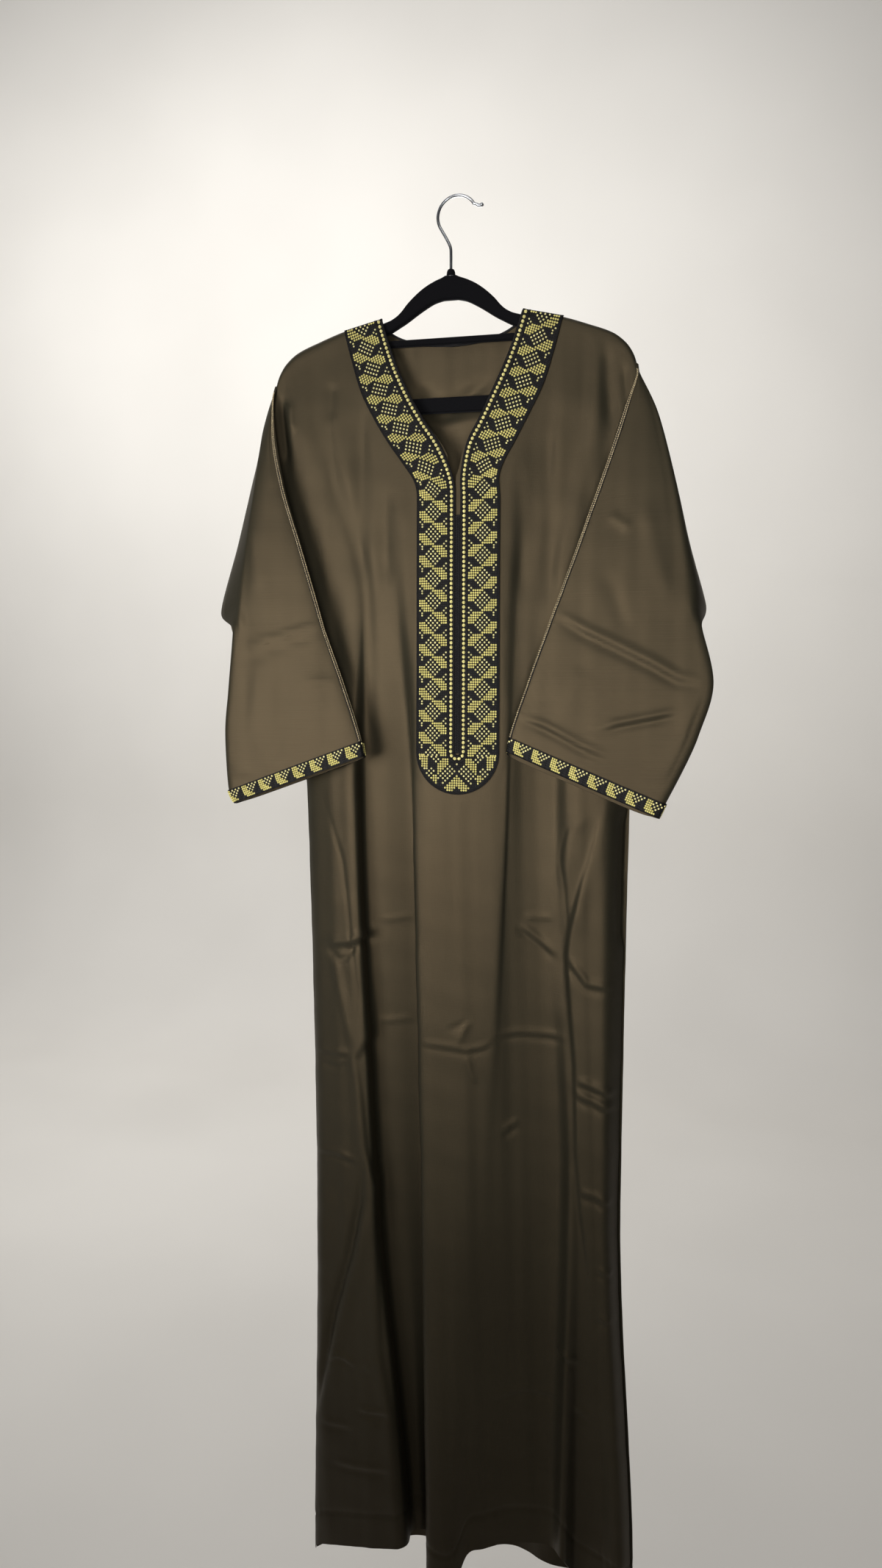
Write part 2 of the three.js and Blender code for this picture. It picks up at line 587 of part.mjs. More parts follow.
const SLEEVES = {
  left: sleeveSurface(SLEEVE_LEFT, -1),
  right: sleeveSurface(SLEEVE_RIGHT, 1),
};
const SLEEVE_ROWS = SLEEVE_LEFT.length - 1;
const PIPING = [OVER_KNOT - 0.72, OVER_KNOT - 0.3];
const AROUND = [0, 0.5, 1, 1.5, 2, 3, 4, 5, ...PIPING, 6, 6.4, 7, 8, 9, 10, 10.5, 11, 11.5, 12];

function sleeve(name) {
  const grid = steps(0, SLEEVE_ROWS, SLEEVE_ROWS * 2).map((t) => (
    AROUND.map((v) => SLEEVES[name](t, v))
  ));
  return wall(grid, CLOTH);
}

// Something laid on a sleeve's outside, over some of its lines and rows, from the sleeve's own
// points moved out.
function layOnSleeve(name, rows, lines, thickness) {
  const out = name === 'left' ? -1 : 1;
  const grid = rows.map((t) => AROUND.map((v) => SLEEVES[name](t, v)));
  const low = CLOTH / 2 + BAND_GAP;
  const [outer, inner] = [low + thickness, low].map((lift) => (
    offset(grid, out * lift).map((row) => row.slice(...lines))
  ));
  return wallBetween(outer, inner);
}

const cuffBand = (name) => layOnSleeve(name, [CUFF_ROW, CUFF_ROW + 0.5, SLEEVE_ROWS], [0], BAND);

function piping(name) {
  const rows = [...steps(0.5, CUFF_ROW - 0.5, 14), CUFF_ROW - 0.1];
  const first = AROUND.indexOf(PIPING[0]);
  return layOnSleeve(name, rows, [first, first + 2], PIPING_RISE);
}

// ---------------------------------------------------------------- round parts
function tube(points, radius, count, sides) {
  const ring = new THREE.Shape().absarc(0, 0, radius, 0, 2 * Math.PI);
  const extrudePath = new THREE.CatmullRomCurve3(points);
  return new THREE.ExtrudeGeometry(ring, { extrudePath, steps: count, curveSegments: sides / 2 });
}

// The bound edge of the neck at the back, just above the back's cloth.
const BINDING_RADIUS = 1.4;
const BINDING_RISE = 3.1;        // from the back's neckline to the middle of the binding

function neckBinding() {
  const points = steps(-70, 70, 14).map((out) => {
    const x = HANGER_X + out;
    const z = backNeckZ(x);
    const point = bodyPoint(BACK_FOLDS, foldAt(BACK_FOLDS, x, z), z);
    const sag = z - NECK[0].innerZ;
    const away = new THREE.Vector3(out / NECK[0].inner ** 2, 0, sag / BACK_NECK_DEPTH ** 2);
    return point.sub(away.setLength(BINDING_RISE));
  });
  return tube(points, BINDING_RADIUS, 24, 6);
}

// ---------------------------------------------------------------- the hanger
function slab(outline, half, bevel) {
  const shape = new THREE.Shape(outline.map(([x, z]) => new THREE.Vector2(x, z)));
  const options = {
    depth: 2 * (half - bevel),
    bevelSize: bevel,
    bevelOffset: -bevel,
    bevelThickness: bevel,
    bevelSegments: 2,
  };
  const geometry = new THREE.ExtrudeGeometry(shape, options);
  return geometry.translate(0, 0, bevel - half).rotateX(Math.PI / 2);
}

const mirrored = (points) => points.map(([out, z]) => [HANGER_X - out, z]).reverse();
const placed = (points) => points.map(([out, z]) => [HANGER_X + out, z]);

function hangerArms() {
  const top = [...mirrored(HANGER_TOP), ...placed(HANGER_TOP)];
  const under = [...placed(HANGER_UNDER), ...mirrored(HANGER_UNDER)];
  return slab([...top, ...under], ARM_HALF, 2.5);
}

function bar({ end, top, bottom, half }) {
  const reach = end - GAP;
  const outline = [[-reach, bottom], [reach, bottom], [reach, top], [-reach, top]];
  return slab(outline.map(([x, z]) => [HANGER_X + x, z]), half, 2);
}

// The collar that the hook's shank stands in.
function ferrule() {
  const bore = WIRE_RADIUS + GAP;
  const profile = [[bore, 0.3], [4.6, 0.3], [4.2, 5], [3.2, 6.5], [bore, 6.5], [bore, 0.3]];
  const ring = new THREE.LatheGeometry(profile.map(([r, z]) => new THREE.Vector2(r, z)), 16);
  return ring.rotateX(Math.PI / 2).translate(HANGER_X, 0, HUB_Z);
}

function solid(geometry) {
  const positions = geometry.clone();
  positions.deleteAttribute('normal');
  positions.deleteAttribute('uv');
  const merged = mergeVertices(positions, 1e-4);
  const vertProperties = merged.attributes.position.array;
  const triVerts = new Uint32Array(merged.index.array);
  return new wasm.Manifold(new wasm.Mesh({ numProp: 3, vertProperties, triVerts }));
}

function fromSolid(manifold) {
  const { vertProperties, triVerts } = manifold.getMesh();
  const geometry = new THREE.BufferGeometry();
  geometry.setAttribute('position', new THREE.BufferAttribute(vertProperties, 3));
  geometry.setIndex(new THREE.BufferAttribute(triVerts, 1));
  return geometry;
}

// The wire hook: a flared tip with a small ball, the crown, and the shank down to the hub.
function hook() {
  const crown = steps(HOOK.tipAngle, HOOK.shankAngle, 12).map((degrees) => {
    const angle = THREE.MathUtils.degToRad(degrees);
    const x = HOOK.centreX + HOOK.radius * Math.cos(angle);
    return [x, WIRE_RADIUS + HOOK.radius * (Math.sin(angle) - 1)];
  });
  const shank = [[-9, -44], [HANGER_X - 0.5, -52], [HANGER_X, -60], [HANGER_X, HUB_Z + GAP]];
  const path = [...HOOK_TIP, ...crown, ...shank].map(([x, z]) => new THREE.Vector3(x, 0, z));
  const ball = new THREE.SphereGeometry(WIRE_RADIUS * 1.35, 10, 6);
  ball.translate(path[0].x, 0, path[0].z);
  return fromSolid(solid(tube(path, WIRE_RADIUS, 40, 10)).add(solid(ball)));
}

// ---------------------------------------------------------------- the model
const model = new THREE.Group();
function add(name, geometry, material) {
  const mesh = new THREE.Mesh(geometry, material);
  mesh.name = name;
  model.add(mesh);
}

add('front', frontPanel(), MATERIALS.cloth);
add('back', backPanel(), MATERIALS.cloth);
add('front_closure', frontClosure(), MATERIALS.braid);
add('placket_band', placketBand(), MATERIALS.embroidery);
add('neck_binding', neckBinding(), MATERIALS.braid);
for (const [name, side] of [['left', -1], ['right', 1]]) {
  add(`sleeve_${name}`, sleeve(name), MATERIALS.cloth);
  add(`neck_band_${name}`, neckBand(side), MATERIALS.embroidery);
  add(`bead_trim_${name}`, beadTrim(side), MATERIALS.beads);
  add(`cuff_band_${name}`, cuffBand(name), MATERIALS.embroidery);
  add(`sleeve_piping_${name}`, piping(name), MATERIALS.piping);
  add(`pocket_${name}`, pocketBag(name), MATERIALS.cloth);
}
add('hanger_arms', hangerArms(), MATERIALS.velvet);
add('hanger_upper_bar', bar(UPPER_BAR), MATERIALS.velvet);
add('hanger_lower_bar', bar(LOWER_BAR), MATERIALS.velvet);
add('hanger_ferrule', ferrule(), MATERIALS.velvet);
add('hanger_hook', hook(), MATERIALS.chrome);

export default model;
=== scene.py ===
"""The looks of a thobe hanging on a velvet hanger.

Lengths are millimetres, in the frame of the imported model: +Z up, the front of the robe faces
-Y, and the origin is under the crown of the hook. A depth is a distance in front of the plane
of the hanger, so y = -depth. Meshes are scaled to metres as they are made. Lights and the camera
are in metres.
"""
import math

import bpy
import numpy as np
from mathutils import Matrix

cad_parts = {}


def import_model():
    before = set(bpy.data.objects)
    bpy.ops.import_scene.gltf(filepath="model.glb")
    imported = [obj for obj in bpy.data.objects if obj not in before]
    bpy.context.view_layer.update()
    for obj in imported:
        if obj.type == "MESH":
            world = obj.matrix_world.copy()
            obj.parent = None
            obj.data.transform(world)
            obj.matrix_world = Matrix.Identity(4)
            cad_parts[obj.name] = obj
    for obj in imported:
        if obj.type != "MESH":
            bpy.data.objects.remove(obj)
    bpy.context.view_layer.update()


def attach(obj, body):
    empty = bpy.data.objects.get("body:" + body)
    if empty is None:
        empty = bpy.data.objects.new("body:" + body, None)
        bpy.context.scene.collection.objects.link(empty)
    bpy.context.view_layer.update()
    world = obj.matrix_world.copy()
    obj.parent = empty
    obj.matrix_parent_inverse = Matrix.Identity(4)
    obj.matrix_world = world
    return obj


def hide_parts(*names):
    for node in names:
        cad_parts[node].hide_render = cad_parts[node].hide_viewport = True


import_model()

MM = 0.001
BODY = "root"
OUTWARD = {"left": -1, "right": 1}

# ---- sizes shared with the frame
CLOTH = 0.8                  # thickness of the cloth
SEAM = 1.6                   # between the front's and the back's middle surfaces at a seam
BAND_LIFT = 1.5              # from the cloth's middle surface to a band's
BAND = 0.9                   # thickness of a band
BAND_TOP = BAND_LIFT + BAND / 2
UNDERARM_Z = -436
V_POINT_Z = -318
SLIT_END_Z = -595
PLACKET_IN = 3               # a band's edges, from the line down the middle
PLACKET_OUT = 46
PLACKET_TOP_Z = -322
HANGER_X = -5
TIP_OUT = 203                # from the middle of the hanger to the shoulder's tip
TIP_Z = -200
ARMHOLE_CURVE = 1.12
BACK_NECK_DEPTH = 29.5
ARM_HALF = 5
WIRE_RADIUS = 1.6
HUB_Z = -81

CENTRE_LINE = np.array([
    (-120, -3), (-207, -1.5), (-258, 2), (-290, 6), (-318, 8.5), (-640, 11), (-1100, 7),
    (-1600, 8),
], float)                    # height, place of the line down the middle of the front

# Edge of the V neck: inner edge and its height, outer edge of the band and its height.
NECK = np.array([
    (78, -124, 121, -134),
    (70, -149, 112, -168),
    (59.5, -177, 101, -202),
    (45.5, -207, 86, -232),
    (30, -236, 70, -260),
    (16.5, -258, 57, -280),
    (8, -281, 48.5, -296),
    (3.4, -302, 46, -308),
    (3, -321.7, 46, -321.7),
], float)

SHOULDER = np.array([
    (0, -119), (76, -122), (120, -132), (150, -142), (175, -152), (189, -163), (197, -175),
    (201, -187), (203, -200),
], float)                    # distance from the middle of the hanger, height of the seam

# Folds, left to right: hem height, then where each runs (x) and how far forward it stands
# (depth) at the heights in LEVELS.
LEVELS = np.array([-200, -440, -640, -1100, -1600], float)
FRONT_FOLDS = [
    (-1598, (-271, -270, -176, -169, -177), (1.2, 1.2, 1.2, 1.2, 1.2)),
    (-1573, (-211, -200, -160, -152, -158), (7, 9, 15, 19, 22)),
    (-1548, (-178, -120, -113, -93, -58), (11, 17, 30, 34, 37)),
    (-1550, (-156, -99, -103, -85, -51), (10, 15, 11, 8, 5)),
    (-1548, (-136, -82, -74, -60, -41), (12, 18, 10, 2, -1)),
    (-1560, (-112, -62, -46, -35, -29), (11, 20, 7, -2, -5)),
    (-1573, (-72, -38, -37, -28, -22), (14, 27, 33, 40, 44)),
    (-1578, (-1, 9, 11, 7, 8), (17, 29, 36, 43, 47)),
    (-1538, (70, 56, 58.5, 37, 25), (14, 28, 32, 36, 38)),
    (-1532, (104, 74, 69, 56, 45), (11, 20, 27, 29, 31)),
    (-1525, (122, 90, 82, 82, 77), (12, 18, 21, 20, 21)),
    (-1527, (140, 104, 98, 121, 118), (11, 16, 17, 11, 15)),
    (-1531, (156, 122, 116, 138, 136), (12, 17, 17, 25, 29)),
    (-1566, (172, 152, 132, 151, 149), (8, 11, 24, 25, 4)),
    (-1578, (188, 182, 150, 165, 177), (10, 13, 26, 26, 6)),
    (-1584, (203, 222, 176, 180, 201), (8, 10, 21, 23, 15)),
    (-1588, (264, 262, 193, 190, 212), (1.2, 1.2, 1.2, 1.2, 1.2)),
]
CENTRE_FOLD = 7
BACK_FOLDS = [
    (-1598, (-271, -270, -176, -169, -177), (-1.2, -1.2, -1.2, -1.2, -1.2)),
    (-1588, (-211, -205, -142, -132, -138), (-8, -14, -17, -20, -23)),
    (-1583, (-150, -142, -102, -96, -96), (-10, -9, -9, -9, -9)),
    (-1578, (-76, -80, -57, -53, -50), (-11, -18, -22, -24, -27)),
    (-1571, (-2, -8, 2, 4, 8), (-10, -11, -10, -10, -9)),
    (-1569, (72, 72, 60, 60, 66), (-11, -19, -22, -24, -28)),
    (-1570, (142, 134, 106, 104, 118), (-9, -9, -9, -9, -9)),
    (-1582, (203, 202, 152, 148, 165), (-8, -14, -17, -20, -23)),
    (-1588, (264, 262, 193, 190, 212), (-1.2, -1.2, -1.2, -1.2, -1.2)),
]

# Sleeves from the shoulder to the cuff: the over-arm seam (x, z, depth), the underarm side
# (x, z, depth), the height on the armhole (None below it), half the space between the layers and
# half the gap where the two long edges meet.
SLEEVE_LEFT = [
    ((-203.4, -185, 5.5), (-204.4, -186.5, 3), -188, 0.8, 0.3),
    ((-206.4, -201, 12), (-209, -203, 9), -202, 1.8, 0.3),
    ((-198, -252, 29), (-217, -242, 20), -250, 4, 0.3),
    ((-186, -305, 35), (-225, -300, 29), -303, 5, 0.3),
    ((-168, -362, 39), (-235, -362, 34), -362, 5.5, 0.3),
    ((-148, -428, 42), (-245, -430, 38), -440, 6, 0.3),
    ((-140, -455, 43), (-248, -462, 39), None, 6, 1.3),
    ((-120, -512, 45), (-254, -530, 41), None, 6.5, 0.3),
    ((-109, -545, 46), (-258, -578, 42), None, 7, 0.3),
    ((-97, -584, 47), (-254.3, -642, 43), None, 7, 0.3),
    ((-94, -600, 47), (-247, -656, 43), None, 7, 0.3),
]
SLEEVE_RIGHT = [
    ((193.4, -183, 5.5), (194.4, -184.5, 3), -186, 0.8, 0.3),
    ((197, -198, 12), (201, -200, 9), -202, 1.8, 0.3),
    ((184, -240, 26), (219, -238, 20), -250, 4, 0.3),
    ((168, -296, 34), (236, -296, 28), -303, 5, 0.3),
    ((148, -358, 38), (251, -361, 33), -362, 5.5, 0.3),
    ((123, -432, 42), (264, -430, 37), -440, 6, 0.3),
    ((114, -458, 43), (269, -460, 38), None, 6, 1.3),
    ((95, -514, 45), (282, -518, 41), None, 6.5, 0.3),
    ((84, -546, 46), (268, -572, 42), None, 7, 0.3),
    ((74, -577, 47), (236, -643, 43), None, 7, 0.3),
    ((71, -592, 47), (229, -658, 43), None, 7, 0.3),
]
CUFF_ROW = 9                 # the row on which the cuff's band starts
SLEEVE_ROWS = len(SLEEVE_LEFT) - 1
OVER_KNOT = 6                # the place in a section of the piped seam
LAST_KNOT = 12


# ---- interpolation
def smooth(t):
    s = np.clip(t, 0, 1)
    return s * s * (3 - 2 * s)


def lerp(a, b, t):
    return a + (b - a) * t


def hump(away, half):
    """1 in the middle of a soft ridge, falling to 0 to its sides."""
    return np.exp(-((away / half) ** 2))


def running(steps):
    """The sum of the steps before each point, from 0."""
    return np.concatenate([[0], np.cumsum(steps)])


def monotone(knots, values, at):
    """A curve through (knots, values) that never swings past them."""
    k = np.asarray(knots, float)
    v = np.asarray(values, float)
    if k[-1] < k[0]:
        k, v = k[::-1], v[::-1]
    rate = np.diff(v) / np.diff(k)
    before, after = rate[:-1], rate[1:]
    same = before * after > 0
    slope = np.zeros(len(k))
    slope[1:-1][same] = 2 * before[same] * after[same] / (before + after)[same]
    i = np.clip(np.searchsorted(k, at, side="right") - 1, 0, len(k) - 2)
    width = k[i + 1] - k[i]
    t = np.clip((at - k[i]) / width, 0, 1)
    lift = slope[i] * width * t * (1 - t) ** 2 - slope[i + 1] * width * t * t * (1 - t)
    return lerp(v[i], v[i + 1], smooth(t)) + lift


def through(values, at):
    """A smooth curve through evenly spaced values, which run along the first axis.

    values is one list, or has at's shape after its first axis."""
    values = np.asarray(values, float)
    at = np.asarray(at, float)
    last = len(values) - 1
    i = np.clip(np.floor(at).astype(int), 0, last - 1)
    t = at - i

    def pick(j):
        j = np.clip(j, 0, last)
        return values[j] if values.ndim == 1 else np.take_along_axis(values, j[None], 0)[0]

    a, b, c, d = pick(i - 1), pick(i), pick(i + 1), pick(i + 2)
    return b + 0.5 * t * (c - a + t * (2 * a - 5 * b + 4 * c - d + t * (3 * (b - c) + d - a)))


def last_below(low, high, is_below):
    """The last place from low to high that a test finds to be below."""
    for _ in range(30):
        middle = (low + high) / 2
        below = is_below(middle)
        low, high = np.where(below, middle, low), np.where(below, high, middle)
    return low


def unit(vectors):
    return vectors / np.maximum(np.linalg.norm(vectors, axis=-1, keepdims=True), 1e-9)


def walk(path, pitch):
    """Points about every pitch along a path of points, with the direction at each."""
    run = running(np.linalg.norm(np.diff(path, axis=0), axis=1))
    count = max(1, round(run[-1] / pitch))
    at = (np.arange(count) + 0.5) * run[-1] / count
    points, ahead = [np.stack([np.interp(place, run, line) for line in path.T], -1)
                     for place in (at, at + 0.5)]
    return points, unit(ahead - points)


# ---- the robe's surface
def centre_x(z):
    return monotone(CENTRE_LINE[:, 0], CENTRE_LINE[:, 1], z)


def neck_edge(z):
    """Half the width of the cut opening, which closes to the slit under the bands."""
    half = monotone(NECK[:, 1], NECK[:, 0], z)
    return half - PLACKET_IN * smooth((30 - half) / (30 - PLACKET_IN))


def shoulder_z(x):
    return monotone(SHOULDER[:, 0], SHOULDER[:, 1], np.abs(x - HANGER_X))


def side_x(side):
    return FRONT_FOLDS[0 if side < 0 else -1][1][0]


def armhole_z(x):
    tip = HANGER_X + np.sign(x) * TIP_OUT
    end = np.where(x < 0, side_x(-1), side_x(1))
    part = np.clip((x - tip) / (end - tip), 0, 1)
    return lerp(TIP_Z, UNDERARM_Z, part ** (1 / ARMHOLE_CURVE))


def armhole_x(side, z):
    if z > TIP_Z:
        return HANGER_X + side * float(monotone(SHOULDER[:, 1], SHOULDER[:, 0], z))
    part = (z - TIP_Z) / (UNDERARM_Z - TIP_Z)
    return lerp(HANGER_X + side * TIP_OUT, side_x(side), part ** ARMHOLE_CURVE)


def back_neck_z(x):
    across = (x - HANGER_X) / NECK[0, 0]
    sag = BACK_NECK_DEPTH * np.sqrt(np.clip(1 - across ** 2, 0, 1))
    return np.where(across ** 2 >= 1, 0, NECK[0, 1] - sag)


def on_cloth(x, z, is_front):
    past_tip = np.abs(x - HANGER_X) > TIP_OUT
    if is_front:
        clear = (z < V_POINT_Z) | (np.abs(x - centre_x(z)) >= neck_edge(z))
    else:
        clear = (z <= back_neck_z(x)) | (np.abs(x - HANGER_X) > NECK[0, 0])
    return np.where(past_tip, z <= armhole_z(x), (z <= shoulder_z(x)) & clear)


ROUND_DROP = 8               # how far the cloth drops as it rounds over the hanger,
EASE_DROP = 90               # and how much further until it hangs free
OVER_ARM = ARM_HALF + 1.8
SEAM_DEPTH = SEAM / 2 + 0.15


def drape(depth, x, z):
    """The depth of the cloth, eased where it rounds over the hanger."""
    drop = shoulder_z(x) - z
    turn = np.clip(drop / ROUND_DROP, 0, 1)
    over = lerp(SEAM_DEPTH, OVER_ARM, np.sqrt(1 - (1 - turn) ** 2))
    full = np.abs(depth)
    eased = lerp(np.minimum(over, full), full, smooth((drop - ROUND_DROP) / EASE_DROP))
    past_arm = np.abs(x - HANGER_X) > TIP_OUT - 7
    return np.sign(depth) * np.where(past_arm, np.minimum(full, eased), eased)


def at_height(folds, column, z):
    """The folds' places (column 1) or depths (column 2) at a height."""
    return np.array([monotone(LEVELS, fold[column], z) for fold in folds])


def body_point(folds, u, z):
    """Points of the front or back; u counts folds from the left side seam."""
    x = through(at_height(folds, 1, z), u)
    depth = drape(through(at_height(folds, 2, z), u), x, z)
    return np.stack([x, -depth, z], -1)


def fold_at(folds, x, z):
    places = at_height(folds, 1, z)
    last = np.full_like(x, len(folds) - 1)
    return last_below(np.zeros_like(x), last, lambda u: through(places, u) < x)


def top_of(folds, u):
    """The height of the cloth's top edge, looked for between two heights."""
    def is_cloth(z):
        return on_cloth(body_point(folds, u, z)[..., 0], z, folds is FRONT_FOLDS)

    return last_below(np.full_like(u, -500), np.full_like(u, -100), is_cloth)


def spread(folds, start, end, count):
    """count + 1 fold positions from start to end, about evenly spaced along the cloth."""
    fine = np.linspace(start, end, 600)
    density = 0
    for z in (-440, -900, -1450):
        points = body_point(folds, fine, np.full_like(fine, z))
        steps = np.linalg.norm(np.diff(points, axis=0), axis=1)
        density = density + steps / steps.sum()
    run = running(density)
    return np.interp(np.linspace(0, run[-1], count + 1), run, fine)


# ---- creases
# Each crease: kind, height, half width, and its points (x, z). A ridge stands out of the cloth
# and a trough sinks in; a fold is a ridge with a trough beside it; a step lifts the side to the
# right of the line's direction, or the other side where its height is negative.
FRONT_CREASES = [
    # left panel
    ("fold", 1.5, 3.5, [(-165, -951), (-135, -948), (-115, -945)]),
    ("trough", 1.4, 3.2, [(-160, -965), (-135, -967), (-117, -958)]),
    ("fold", 1.4, 3.5, [(-167, -1073), (-136, -1069), (-108, -1074)]),
    ("fold", 2.2, 5, [(-150, -820), (-113, -813), (-91, -800)]),
    ("trough", 2.0, 4, [(-146, -828), (-129, -838), (-121, -834), (-109, -816)]),
    ("ridge", 1.4, 6, [(-138, -831), (-127, -878), (-113, -943)]),
    ("trough", 5.1, 5, [(-101, -1068), (-107, -1127), (-120, -1189), (-142, -1264), (-155, -1328),
                        (-163, -1371), (-174, -1415)]),
    ("ridge", 2.7, 8, [(-92, -1110), (-106, -1190), (-128, -1264), (-142, -1328), (-150, -1380)]),
    ("fold", 1.5, 3.5, [(-153, -1330), (-137, -1320), (-111, -1327)]),
    ("ridge", 1.4, 5, [(-99, -1331), (-84, -1311)]),
    ("fold", 1.7, 3.5, [(-112, -1382), (-90, -1380), (-72, -1377)]),
    ("trough", 1.4, 4, [(-88, -1398), (-72, -1380)]),
    ("fold", 1.2, 4, [(-149, -1459), (-110, -1455), (-68, -1448)]),
    ("fold", 1.2, 4, [(-160, -1412), (-120, -1406)]),
    ("ridge", 0.8, 3.2, [(-87, -792), (-47, -786)]),
    ("ridge", 0.8, 3.2, [(-91, -913), (-48, -907)]),
    ("trough", 0.9, 3, [(-152, -647), (-138, -681), (-125, -723), (-119, -769), (-115, -814),
                        (-109, -852), (-105, -887), (-106, -921), (-109, -948)]),
    ("ridge", 1.5, 12, [(-150, -1110), (-160, -1230)]),
    # middle
    ("fold", 1.0, 3.2, [(-32, -923), (-11, -924), (13, -926), (22, -928), (41, -924), (52, -915)]),
    ("fold", 1.2, 3.5, [(51, -911), (79, -908), (102, -910), (134, -912)]),
    ("ridge", 1.2, 3.5, [(13, -924), (20, -904), (29, -889)]),
    ("ridge", 0.9, 3.5, [(22, -928), (27, -950), (34, -968)]),
    ("trough", 0.9, 3.2, [(1, -908), (22, -897), (31, -889)]),
    ("step", 2.4, 2.6, [(-103, -845), (-93, -878), (-93, -926), (-108, -951), (-103, -990),
                        (-97, -1058), (-87, -1101), (-86, -1171), (-81, -1302), (-68, -1377),
                        (-57, -1547), (-55, -1590)]),
    ("step", -1.4, 2.6, [(-47, -609), (-43, -655), (-40, -722), (-38, -779), (-37, -836),
                         (-34, -908), (-34, -974), (-30, -1058), (-30, -1122), (-28, -1222),
                         (-26, -1431), (-24, -1561)]),
    # right
    ("ridge", 0.9, 3.5, [(83, -777), (116, -777)]),
    ("fold", 1.4, 4, [(78, -784), (99, -801), (122, -820)]),
    ("ridge", 1.2, 3.5, [(62, -1022), (80, -1010)]),
    ("trough", 1.0, 3.2, [(62, -1031), (78, -1019)]),
    ("fold", 1.5, 4, [(125, -1277), (153, -1291)]),
    ("fold", 1.0, 4, [(49, -1344), (88, -1332), (135, -1341)]),
    ("fold", 1.4, 4, [(148, -1348), (162, -1361)]),
    ("step", -2.6, 3, [(176, -632), (171, -644), (158, -698), (147, -738), (134, -792), (131, -817),
                       (135, -863), (142, -941), (145, -1040), (150, -1106), (160, -1172),
                       (163, -1222)]),
    ("fold", 2.2, 4, [(146, -956), (166, -964), (188, -974)]),
    ("fold", 1.9, 4, [(144, -971), (166, -981), (187, -991)]),
    ("fold", 1.7, 4, [(150, -1084), (168, -1089), (186, -1099)]),
    ("fold", 1.4, 4, [(171, -1174), (187, -1181)]),
    ("fold", 1.2, 4, [(171, -1232), (187, -1237)]),
    ("fold", 1.7, 4, [(136, -817), (144, -831), (156, -847), (184, -851)]),
    ("trough", 0.9, 3, [(156, -650), (145, -662), (130, -678), (125, -699), (124, -711),
                        (128, -736), (132, -804)]),
    ("ridge", 1.4, 9, [(124, -744), (136, -679), (153, -650)]),
    # chest
    ("trough", 1.8, 9, [(-105, -220), (-107, -320), (-104, -414)]),
    ("trough", 1.4, 8, [(-73, -300), (-74, -415)]),
    ("trough", 1.4, 8, [(-139, -186), (-140, -230)]),
    ("trough", 4.8, 5, [(-199, -198), (-200, -215), (-197, -240), (-193, -275)]),
    ("ridge", 2.2, 5, [(-187, -206), (-188, -222), (-184, -240)]),
    ("trough", 1.8, 9, [(103, -236), (105, -330), (104, -433)]),
    ("trough", 1.4, 7, [(76, -285), (78, -433)]),
    ("trough", 2.1, 7, [(165, -164), (166, -206), (171, -254)]),
    ("trough", 1.8, 5, [(183, -185), (186, -215), (188, -240)]),
]
BACK_CREASES = [
    ("ridge", 2.6, 8, [(-60, -190), (-20, -215), (30, -200)]),
    ("trough", 2.4, 7, [(-64, -212), (-20, -240), (50, -226)]),
    ("ridge", 2.0, 6.4, [(-20, -235), (40, -185)]),
    ("fold", 1.0, 4, [(-150, -930), (-60, -938), (-20, -930)]),
    ("fold", 0.9, 4, [(10, -926), (80, -918), (160, -925)]),
    ("fold", 0.8, 4, [(-140, -1070), (-40, -1066)]),
    ("fold", 0.9, 4, [(20, -792), (110, -784), (160, -800)]),
    ("fold", 0.8, 4, [(-150, -800), (-80, -806), (-30, -792)]),
    ("fold", 0.9, 4.8, [(-140, -1382), (-60, -1376), (20, -1388)]),
    ("fold", 0.8, 4, [(40, -1330), (120, -1346), (180, -1340)]),
    ("ridge", 0.8, 8, [(-130, -500), (-100, -640), (-112, -780)]),
    ("ridge", 0.8, 8, [(140, -480), (112, -620), (120, -760)]),
    ("trough", 0.9, 7.2, [(100, -960), (112, -1120), (96, -1290)]),
    ("trough", 0.8, 7.2, [(-92, -980), (-104, -1140), (-90, -1300)]),
    ("ridge", 0.7, 6.4, [(30, -1050), (22, -1290)]),
]
LEFT_SLEEVE_CREASES = [
    ("fold", 1.7, 4, [(-238, -486), (-204, -475), (-167, -463), (-140, -453)]),
    ("ridge", 1.2, 4, [(-162, -520), (-125, -516)]),
    ("ridge", 1.0, 4.8, [(-205, -297), (-186, -289)]),
    ("fold", 1.7, 4.8, [(-250, -413), (-244, -436), (-234, -463)]),
    ("ridge", 1.4, 4.8, [(-256, -626), (-238, -617), (-220, -622)]),
    ("ridge", 1.2, 9.6, [(-225, -340), (-214, -420)]),
    ("trough", 1.2, 8.8, [(-180, -480), (-186, -560), (-200, -620)]),
    ("ridge", 1.0, 9.6, [(-215, -500), (-226, -590)]),
]
RIGHT_SLEEVE_CREASES = [
    ("fold", 1.9, 4.8, [(122, -444), (152, -462), (192, -481), (222, -496), (248, -511),
                        (272, -515)]),
    ("fold", 1.5, 4, [(165, -567), (186, -559), (206, -555), (249, -546)]),
    ("fold", 1.5, 4, [(85, -554), (108, -561), (126, -570), (154, -585), (182, -596)]),
    ("ridge", 1.2, 4.8, [(173, -344), (197, -360)]),
    ("step", 1.4, 4, [(282, -515), (261, -571), (236, -633)]),
    ("ridge", 1.2, 9.6, [(210, -330), (232, -430)]),
    ("trough", 1.2, 8.8, [(170, -400), (196, -470)]),
    ("ridge", 1.0, 9.6, [(150, -500), (132, -560)]),
]
BEHIND_SLEEVE_CREASES = [
    ("fold", 0.9, 4.8, [(130, -450), (190, -470), (255, -478)]),
    ("fold", 0.8, 4, [(110, -540), (180, -560), (240, -552)]),
    ("ridge", 0.7, 8, [(205, -330), (222, -420)]),
]
